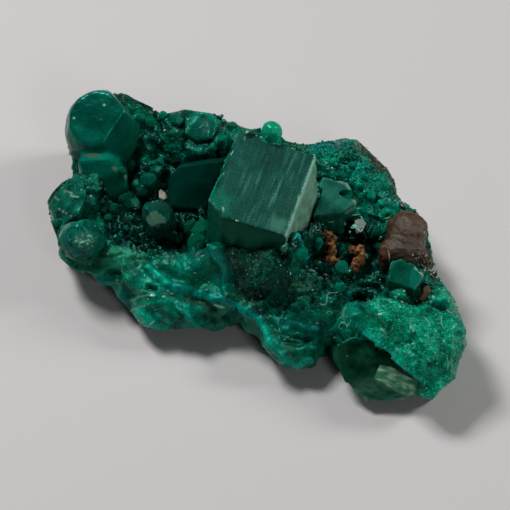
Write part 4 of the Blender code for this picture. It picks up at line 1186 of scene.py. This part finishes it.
# small round-edged crystals: u, v, radius, height over the surface in mm, lean right, away, up, colour
SMALL = [
    (318, 243, 0.40, 0.6, 0.1, 0.1, 1.0, TEAL * 1.4), (348, 248, 0.55, 0.5, -0.2, 0.0, 1.0, TEAL), (341, 268, 0.70, 0.7, 0.2, -0.3, 1.0, TEAL * 1.1),
    (339, 288, 0.62, 0.6, 0.3, -0.4, 0.9, TEAL * 1.1), (373, 271, 0.55, 0.4, 0.1, -0.2, 1.0, TEAL * 0.7), (350, 300, 0.40, 0.4, -0.4, -0.3, 0.8, TEAL * 0.9),
    (377, 232, 0.60, 0.5, 0.3, 0.0, 1.0, EMERALD * 0.8), (367, 257, 0.45, 0.4, 0.3, 0.0, 1.0, TEAL * 0.6), (379, 246, 0.45, 0.3, -0.3, 0.2, 1.0, EMERALD * 0.7),
    (389, 291, 0.45, 0.4, -0.2, -0.2, 1.0, TEAL * 0.8), (362, 281, 0.35, 0.3, 0.4, 0.1, 0.9, EMERALD * 0.9), (327, 270, 0.40, 0.3, -0.3, -0.3, 0.9, EMERALD * 0.8),
    (300, 252, 0.85, 0.5, 0.5, -0.5, 0.8, TEAL * 1.3), (285, 247, 0.50, 0.4, -0.1, -0.6, 0.8, TEAL * 0.9),
    (149, 181, 0.90, 0.8, -0.2, -0.2, 1.0, TEAL * 0.5), (131, 203, 1.00, 0.6, 0.0, -0.2, 1.0, EMERALD * 0.5), (142, 192, 0.70, 0.6, 0.1, -0.3, 1.0, TEAL * 0.45),
    (125, 196, 0.75, 0.5, 0.2, -0.2, 1.0, EMERALD * 0.7), (113, 208, 0.50, 0.5, -0.2, -0.2, 1.0, EMERALD * 0.8), (137, 184, 0.60, 0.5, 0.1, 0.2, 1.0, EMERALD * 0.8),
    (132, 164, 0.55, 0.5, 0.0, 0.1, 1.0, TEAL * 0.9), (122, 171, 0.50, 0.4, 0.3, 0.1, 1.0, EMERALD * 0.8), (156, 170, 0.60, 0.5, 0.0, 0.0, 1.0, TEAL * 0.6),
    (160, 162, 0.40, 0.5, 0.3, -0.2, 1.0, TEAL), (148, 182, 0.50, 0.4, -0.2, 0.1, 1.0, EMERALD * 0.5), (121, 235, 0.32, 0.4, 0.1, -0.3, 1.0, TEAL * 1.2),
    (116, 237, 0.28, 0.3, 0.3, -0.3, 1.0, TEAL), (127, 229, 0.30, 0.3, -0.3, -0.3, 1.0, TEAL * 0.8), (108, 218, 0.38, 0.4, -0.3, -0.1, 1.0, TEAL * 0.9),
    (181, 238, 0.65, 0.4, 0.4, -0.4, 0.9, TEAL * 0.9), (197, 243, 1.00, 0.8, -0.1, -0.4, 0.9, EMERALD * 0.9), (206, 234, 1.50, 1.3, 0.0, -0.35, 1.0, EMERALD * 0.9),
    (191, 228, 0.90, 0.7, -0.3, -0.3, 1.0, FOREST * 1.4), (176, 120, 0.70, 0.6, 0.1, -0.2, 1.0, TEAL * 0.8), (163, 116, 0.50, 0.5, -0.2, -0.2, 1.0, TEAL),
    (151, 124, 0.60, 0.6, 0.2, -0.2, 1.0, EMERALD), (141, 118, 0.55, 0.5, -0.2, -0.1, 1.0, EMERALD * 1.1), (213, 148, 0.55, 0.6, 0.4, 0.0, 1.0, TEAL * 1.3),
    (222, 141, 0.50, 0.6, -0.3, 0.1, 1.0, TEAL * 1.2), (232, 126, 0.60, 0.5, 0.3, 0.2, 1.0, EMERALD * 1.2),
    (381, 205, 0.45, 0.6, 0.2, 0.0, 1.0, TEAL * 1.5), (371, 196, 0.50, 0.5, 0.0, -0.2, 1.0, TEAL * 1.3), (388, 213, 0.40, 0.5, 0.4, 0.0, 1.0, BRIGHT * 0.8),
    (364, 178, 0.45, 0.5, 0.0, -0.2, 1.0, TEAL * 1.2), (352, 166, 0.40, 0.5, -0.2, -0.2, 1.0, TEAL * 1.2), (335, 165, 0.35, 0.5, -0.1, -0.3, 1.0, TEAL * 1.2),
]
bm = bmesh.new()
paints = []
for u, v, radius, height, right, away, up, colour in SMALL:
    found = land(u, v)
    if not found:
        continue
    axis = facing(right, away, up)
    length = height + radius * 1.2
    one = bmesh.new()
    bmesh.ops.create_cone(one, cap_ends=True, segments=6, radius1=radius * MM, radius2=radius * MM, depth=length * MM)
    for turn in (10, 130, 250):
        t, f = math.radians(turn), math.radians(32)
        normal = Vector((math.cos(t) * math.sin(f), math.sin(t) * math.sin(f), math.cos(f)))
        cut_at = bmesh.ops.bisect_plane(one, geom=one.verts[:] + one.edges[:] + one.faces[:], plane_co=(0, 0, length / 2 * MM), plane_no=normal, clear_outer=True)
        edges = [g for g in cut_at["geom_cut"] if isinstance(g, bmesh.types.BMEdge)]
        if edges:
            bmesh.ops.contextual_create(one, geom=edges)
    bmesh.ops.scale(one, verts=one.verts, vec=(1, rng.uniform(0.7, 1.0), 1))
    bmesh.ops.bevel(one, geom=one.edges[:] + one.verts[:], offset=radius * 0.14 * MM, segments=2, affect="EDGES", clamp_overlap=True)
    spin = Matrix.Rotation(rng.uniform(0, 6.28), 4, "Z")
    middle = found[0] + axis * (height - length / 2)
    bmesh.ops.transform(one, matrix=Matrix.Translation(middle * MM) @ axis.to_track_quat("Z", "Y").to_matrix().to_4x4() @ spin, verts=one.verts)
    for vert in one.verts:
        # a little waviness
        vert.co += Vector(vert.normal) * MM * 0.04 * noise.noise(vert.co / MM * 1.7)
    start = len(bm.verts)
    data = bpy.data.meshes.new("one")
    one.to_mesh(data)
    one.free()
    bm.from_mesh(data)
    bpy.data.meshes.remove(data)
    paints += [np.array(colour) * (0.85 + 0.3 * rng.random())] * (len(bm.verts) - start)
small = from_bm("small_crystals", bm, CLOUDY_SMALL)
paint(small.data, "paint", np.array(paints))
shade(small, 40)
add_piece(small, "crystal_green")

# pale broken fragments, and pale flakes that are painted glints, such as the white highlights on the dark glassy
# crystal: u, v, length and width in pixels, turn in degrees, colour
WHITE = np.array([0.24, 0.58, 0.45])
GREY_PINK = np.array([0.36, 0.33, 0.27])
FRAGMENTS = [
    (152, 295, 8, 4, 10, WHITE), (163, 297, 6, 3, -20, WHITE), (172, 294, 6, 3, 10, WHITE * 0.8), (168, 291, 3, 2, 0, WHITE * 0.8), (148, 299, 3, 2, 0, WHITE * 0.6),
    (219, 306, 13, 4, 15, WHITE * 0.9), (227, 294, 5, 4, 0, WHITE * 0.5), (229, 299, 4, 2, 30, WHITE * 0.5), (152, 323, 9, 1.6, -40, WHITE * 0.8),
    (176, 234, 6, 3.5, 30, WHITE), (174, 232, 4, 1.5, 0, WHITE * 0.9), (174, 248, 2.5, 2, 0, WHITE * 0.8), (134, 246, 4, 2, 60, WHITE * 0.7),
    (203, 256, 6, 4, 10, WHITE * 0.5), (197, 255, 9, 4, 0, GREY_PINK * 0.4), (190, 263, 3, 2, 0, WHITE * 0.8), (195, 273, 4, 2, 0, WHITE * 0.5),
    (108, 254, 2.5, 2, 0, WHITE), (118, 252, 2, 1.5, 0, WHITE * 0.7), (139, 254, 3, 1.5, 0, WHITE * 0.8), (146, 266, 3, 2, 0, PALE_GREEN),
    (95, 226, 3, 2, 0, WHITE * 0.9), (91, 196, 2.5, 2.5, 0, WHITE), (81, 190, 2.5, 2.5, 0, WHITE), (67, 260, 5, 1.6, 20, PALE_GREEN),
    (155, 198, 3, 2.4, 0, WHITE * 0.6), (151, 199, 2.5, 2, 0, WHITE * 0.6), (153, 202, 1.6, 3, 10, WHITE * 0.5), (157, 201, 2, 2, 0, WHITE * 0.4),
    (165, 130, 5, 4, 0, PALE_GREEN * 1.3), (177, 131, 3, 3, 0, WHITE * 0.7), (168, 155, 4, 3, 20, WHITE * 0.6), (215, 155, 5, 4, 0, GREY_PINK), (223, 146, 5, 4, -40, WHITE * 0.6),
    (157, 171, 2, 2, 0, WHITE * 0.8), (150, 112, 6, 2, 30, PALE_GREEN), (140, 106, 5, 2, 30, PALE_GREEN), (160, 140, 2, 5, 0, PALE_GREEN), (192, 148, 5, 2, 0, PALE_GREEN),
    (316, 227, 1.5, 5, 0, WHITE * 0.8), (313, 231, 1.5, 6, 20, WHITE * 0.7), (330, 222, 8, 2, 0, PALE_GREEN * 1.5), (322, 224, 5, 1.5, 0, PALE_GREEN * 1.3),
    (312, 271, 8, 3, 30, WHITE), (316, 268, 5, 2, 30, WHITE * 0.9), (308, 274, 3, 2, 0, WHITE * 0.8), (327, 275, 7, 3, 10, GREY_PINK), (326, 279, 5, 3, 0, WHITE * 0.5),
    (312, 290, 3, 2, 30, WHITE), (316, 294, 5, 2, 20, WHITE), (362, 264, 3, 1.5, 0, WHITE * 0.6), (345, 268, 2, 4, 0, PALE_GREEN), (295, 246, 4, 1.4, 20, WHITE * 0.6),
    (293, 244, 1.5, 4, 40, WHITE * 0.6), (317, 323, 5, 3, 40, WHITE * 0.8), (240, 262, 4, 3, 30, PALE_GREEN), (250, 268, 4, 1.5, 60, PALE_GREEN * 0.9),
    (388, 218, 6, 3, -30, PALE_GREEN * 1.8), (389, 200, 4, 3, 0, PALE_GREEN * 1.3), (370, 160, 4, 2, 40, PALE_GREEN), (333, 168, 5, 4, 0, PALE_GREEN * 1.2),
    (326, 163, 3, 2, 0, PALE_GREEN * 1.2), (338, 171, 3, 3, 0, PALE_GREEN * 1.3), (347, 166, 3, 2, 0, PALE_GREEN * 1.2), (365, 180, 3, 5, 20, PALE_GREEN * 1.2),
    (380, 314, 5, 4, 0, WHITE), (391, 302, 3, 2, 0, WHITE * 0.8), (414, 306, 4, 2, 0, WHITE * 0.8), (411, 327, 4, 5, 0, WHITE), (413, 331, 3, 3, 0, WHITE * 0.8),
    (382, 330, 3, 7, -30, WHITE), (384, 334, 2, 5, -20, WHITE * 0.8), (425, 336, 4, 3, 0, WHITE), (444, 341, 3, 3, 0, WHITE), (397, 349, 3, 3, 0, WHITE * 0.8),
    (413, 344, 3, 3, 0, WHITE), (435, 353, 3, 3, 0, WHITE), (413, 355, 3, 4, 0, WHITE * 0.9), (454, 327, 3, 5, 30, WHITE * 0.8), (449, 312, 5, 2, 40, GREY_PINK * 1.2),
    (455, 311, 4, 2, -40, WHITE * 0.6), (433, 298, 4, 6, 0, PALE_GREEN * 1.8), (431, 302, 3, 3, 0, PALE_GREEN * 1.5), (444, 290, 2, 3, 20, GREY_PINK), (421, 274, 6, 2, 40, PALE_GREEN * 1.6),
    (405, 387, 7, 4, 30, PALE_GREEN * 1.6), (398, 384, 5, 3, 20, PALE_GREEN * 1.2), (412, 391, 6, 3, 20, PALE_GREEN * 1.8), (391, 383, 4, 3, 0, PALE_GREEN), (347, 356, 3, 1.5, 0, PALE_GREEN),
    (247, 133, 3.2, 7, 12, WHITE * 0.85), (244, 139, 1.4, 5, 30, WHITE * 0.6), (235, 136, 1.2, 7, 22, WHITE * 0.7), (267, 137, 6, 2, -30, WHITE * 0.6), (293, 149, 5, 1.8, 20, WHITE * 0.7),
    (307, 150, 2, 1.5, 0, WHITE * 0.8), (314, 155, 2.2, 2.2, 0, WHITE), (223, 209, 2.6, 8, -5, PALE_GREEN * 1.3), (237, 221, 4, 2.4, 20, PALE_GREEN * 1.3),
    (354, 215, 14, 2.2, 8, WHITE), (362, 219, 2, 7, -20, WHITE * 0.7), (354, 226, 8, 6, 0, WHITE), (357, 231, 3, 8, 0, WHITE), (350, 232, 3, 3, 0, WHITE * 0.7), (347, 238, 3, 2, 0, WHITE * 0.6),
    (361, 228, 3, 3, 0, WHITE * 0.6), (352, 238, 5, 2, 0, WHITE * 0.4), (366, 229, 2, 2, 0, WHITE * 0.4), (364, 241, 3, 1.5, 0, WHITE * 0.4), (345, 224, 2, 3, 0, WHITE * 0.5),
    (389, 255, 1.6, 8, -10, GREY_PINK * 1.2), (424, 232, 2.5, 4, 0, WHITE * 0.7), (413, 255, 3, 2, 0, GREY_PINK * 1.3), (404, 291, 2.5, 3, 0, GREY_PINK),
    (401, 206, 13, 6.5, 30, EARTH), (394, 201, 6, 4, 40, EARTH * 0.8),
]
spots, sizes, colours, axes = [], [], [], []
index, hits, hit_normals = set_down([(f[0], f[1]) for f in FRAGMENTS])
bm = bmesh.new()
paints = []
for i, hit, normal in zip(index, hits, hit_normals):
    u, v, long, wide, turn, colour = FRAGMENTS[i]
    t = math.radians(turn)
    n = (Vector(normal) + BACK * 0.6).normalized()
    across = (RIGHT * math.cos(t) - UP * math.sin(t))
    across = (across - n * across.dot(n)).normalized()
    other = n.cross(across)
    one = bmesh.ops.create_icosphere(bm, subdivisions=2, radius=1.0)
    for vert in one["verts"]:
        p = vert.co.copy()
        q = p * (1 + 0.35 * noise.noise(p * 1.6 + Vector((u, v, 0))))
        # flat faces here and there
        for k in range(3):
            f = Vector((math.sin(u * (k + 1)), math.cos(v * (k + 2)), math.sin(u + v + k))).normalized()
            over = q.dot(f) - 0.45
            if over > 0:
                q -= f * over
        vert.co = (Vector(hit) + across * (q.x * long / 2 * PIXEL) + other * (q.y * wide / 2 * PIXEL) + n * (q.z * min(wide, long) * 0.32 * PIXEL)) * MM
    paints += [np.array(colour)] * len(one["verts"])
bm_count = len(bm.verts)
fragments = from_bm("pale_fragments_and_painted_glints", bm, PALE)
paint(fragments.data, "paint", np.clip(np.array(paints) * 0.8, 0, 0.9))
shade(fragments, 25)
add_piece(fragments, "crystal_green")

# a pale broken tip behind the crystal in the left hollow
found = land(163, 196)
if found:
    at = found[0] + BACK * 0.9
    bm = bmesh.new()
    for right, up, out in ((-4.5, 8, 0), (-2.5, 11, 3), (3.5, 5, 2), (6, -3, 1), (2, -7, 4), (-4, -3, 4), (-4.5, -2, -4), (5.5, -4, -5), (0, 8, -5)):
        bm.verts.new((at + (RIGHT * right * 0.85 + UP * up * 0.62 + BACK * out * 0.7) * PIXEL) * MM)
    bmesh.ops.convex_hull(bm, input=bm.verts)
    tip = from_bm("pale_tip", bm)
    remesh(tip, 0.035, 0.5, 2)
    tip.data.materials.clear()
    tip.data.materials.append(PALE)
    p = coords(tip.data)
    paint(tip.data, "paint", veils(p, (0.22, 0.22, 0.17), (0.55, 0.50, 0.42), 1.6))
    shade(tip)
    add_piece(tip, "crystal_green")

# tiny pale flakes scattered over the druse as painted glints, and pinkish grains under the nodule
pick = np.nonzero(np.isin(tri_kind, (DARKDRUSE, PIT, SPARKLE, SUGAR, LEDGE, RIDGE, WAXY)) & (tri_mid[:, 2] > 0.5))[0]
spot, n, colour = scatter(pick, 0.55)
more, more_n, _ = scatter(np.nonzero(np.isin(tri_kind, (DARKDRUSE, SUGAR)) & (tri_mid[:, 2] > 0.5))[0], 1.6)
dense = wave(more, 0.9, (6, 6, 1)) > -0.05
spot, n = np.concatenate([spot, more[dense]]), np.concatenate([n, more_n[dense]])
far, _ = beside(spot, 0.5)
keep = far > 0.05
spot, n = spot[keep], n[keep]
size = 0.035 + 0.085 * rng.random(len(spot)) ** 2
many("glints", FLAKE, spot + n * 0.03, n + 0.8 * rng.normal(size=n.shape), size, size * 0.8,
     np.clip(np.outer(rng.uniform(0.3, 1.0, len(spot)), (0.32, 0.72, 0.58)), 0, 0.9), PALE, "crystal_green", 0.25)
cluster = []
for _ in range(150):
    t = rng.random()
    cluster.append((418 + 18 * t + rng.normal(0, 3.2), 252 + 24 * t + rng.normal(0, 4.0)))
index, hits, hit_normals = set_down(cluster)
size = rng.uniform(0.06, 0.16, len(hits))
tones = np.array([(0.16, 0.11, 0.08), (0.09, 0.06, 0.04), (0.28, 0.24, 0.19), (0.04, 0.028, 0.022), (0.01, 0.07, 0.045)])[rng.integers(0, 5, len(hits))]
many("grains", FLAKE, hits, hit_normals + 0.7 * rng.normal(size=hits.shape), size, size * 1.3, tones, PALE, "nodule_brown", 0.25)

# lint and dust fibres: lines through the picture, radius in mm
FIBRES = [
    ([(423, 317), (426, 319), (429, 323), (430, 327)], 0.026), ([(442, 316), (441, 321), (442, 326), (445, 329)], 0.030), ([(452, 332), (453, 339), (452, 345), (454, 349)], 0.026),
    ([(447, 357), (448, 364), (447, 370)], 0.026), ([(331, 293), (327, 295), (327, 300), (326, 304), (322, 305), (320, 303)], 0.026), ([(339, 328), (340, 324), (344, 323), (347, 325), (347, 328)], 0.030),
    ([(327, 292), (333, 293), (338, 292)], 0.022), ([(344, 276), (346, 280), (350, 279)], 0.020), ([(345, 268), (347, 263), (348, 258)], 0.020), ([(353, 305), (358, 302), (364, 302), (368, 305)], 0.022),
    ([(311, 228), (309, 233), (311, 237)], 0.024), ([(315, 224), (318, 223), (320, 226), (319, 230), (316, 230), (315, 227), (316, 224)], 0.026),
    ([(382, 328), (386, 333), (386, 338)], 0.020), ([(388, 250), (390, 256), (389, 262)], 0.024), ([(446, 308), (450, 313), (455, 311)], 0.024), ([(442, 312), (448, 310), (452, 306)], 0.020),
    ([(286, 132), (286, 130)], 0.012), ([(326, 313), (330, 311), (332, 314)], 0.022), ([(361, 229), (365, 234), (366, 239)], 0.020), ([(291, 243), (295, 246), (293, 249)], 0.018),
]
bm = bmesh.new()
for line, radius in FIBRES:
    # a smooth curve through the points, lying on what is under it
    pts = [Vector((u, v, 0)) for u, v in line]
    fine_line = []
    for i in range(len(pts) - 1):
        p0, p1, p2, p3 = pts[max(i - 1, 0)], pts[i], pts[i + 1], pts[min(i + 2, len(pts) - 1)]
        for k in range(5):
            t = k / 5
            fine_line.append(0.5 * (2 * p1 + (p2 - p0) * t + (2 * p0 - 5 * p1 + 4 * p2 - p3) * t * t + (3 * p1 - p0 - 3 * p2 + p3) * t ** 3))
    fine_line.append(pts[-1])
    radius *= 0.8
    index, hits, hit_normals = set_down([(p.x, p.y) for p in fine_line])
    if len(hits) < 3:
        continue
    lifted = [Vector(h) + Vector(n) * (radius * 1.5) + BACK * 0.05 for h, n in zip(hits, hit_normals)]
    for _ in range(3):
        lifted = [lifted[0]] + [(lifted[i - 1] + lifted[i] * 2 + lifted[i + 1]) / 4 for i in range(1, len(lifted) - 1)] + [lifted[-1]]
    rings = []
    for i, p in enumerate(lifted):
        way = (lifted[min(i + 1, len(lifted) - 1)] - lifted[max(i - 1, 0)]).normalized()
        a = way.cross(BACK).normalized()
        b = way.cross(a)
        thin = radius * (0.6 if i in (0, len(lifted) - 1) else 1.0)
        rings.append([bm.verts.new((p + (a * math.cos(k * 1.0472) + b * math.sin(k * 1.0472)) * thin) * MM) for k in range(6)])
    for r, s in zip(rings, rings[1:]):
        for k in range(6):
            bm.faces.new((r[k], r[(k + 1) % 6], s[(k + 1) % 6], s[k]))
    bm.faces.new(rings[0][::-1])
    bm.faces.new(rings[-1])
fibres = from_bm("lint", bm, LINT)
paint(fibres.data, "paint", np.tile((0.22, 0.42, 0.36), (len(fibres.data.vertices), 1)))
shade(fibres, 50)
add_piece(fibres, "crust_green")

# ---------------------------------------------------------------- floor, light, camera
bm = bmesh.new()
bmesh.ops.create_grid(bm, x_segments=1, y_segments=1, size=2.0)
floor = from_bm("floor", bm)
g = Graph("floor_pale")
g.shader.inputs["Base Color"].default_value = (0.50, 0.48, 0.48, 1)
g.set(Roughness=0.7)
floor.data.materials.append(g.material)


def area_light(name, toward, distance, size, power, colour=(1, 1, 1)):
    """A soft rectangular light at a direction from the specimen, distance and size in mm."""
    data = bpy.data.lights.new(name, "AREA")
    data.shape = "RECTANGLE"
    data.size, data.size_y = size[0] * MM, size[1] * MM
    data.energy = power
    data.color = colour
    obj = bpy.data.objects.new(name, data)
    bpy.context.scene.collection.objects.link(obj)
    at = (AIM + toward * distance) * MM
    obj.location = at
    obj.rotation_mode = "QUATERNION"
    obj.rotation_quaternion = (-toward).to_track_quat("-Z", "Y")
    return obj


area_light("softbox_left", facing(-0.60, 0.45, 1.2), 300, (80, 80), 0.80)
area_light("softbox_right", facing(1.0, 0.15, 0.75), 300, (70, 90), 0.40)
area_light("softbox_front", facing(0.35, -0.9, 0.75), 320, (60, 60), 0.12)
area_light("softbox_top", facing(0.0, 0.1, 1.0), 420, (260, 260), 0.03)

world = bpy.data.worlds.new("studio")
world.use_nodes = True
world.node_tree.nodes["Background"].inputs["Color"].default_value = (0.90, 1.0, 0.97, 1)
world.node_tree.nodes["Background"].inputs["Strength"].default_value = 0.035
bpy.context.scene.world = world

camera = bpy.data.objects.new("camera", bpy.data.cameras.new("camera"))
bpy.context.scene.collection.objects.link(camera)
camera.data.lens, camera.data.sensor_width = 150, 36
camera.data.clip_start, camera.data.clip_end = 0.005, 5
camera.location = EYE * MM
camera.rotation_mode = "QUATERNION"
camera.rotation_quaternion = Matrix((RIGHT, UP, BACK)).transposed().to_quaternion()
bpy.context.scene.camera = camera
bpy.context.scene.view_settings.view_transform = "Standard"
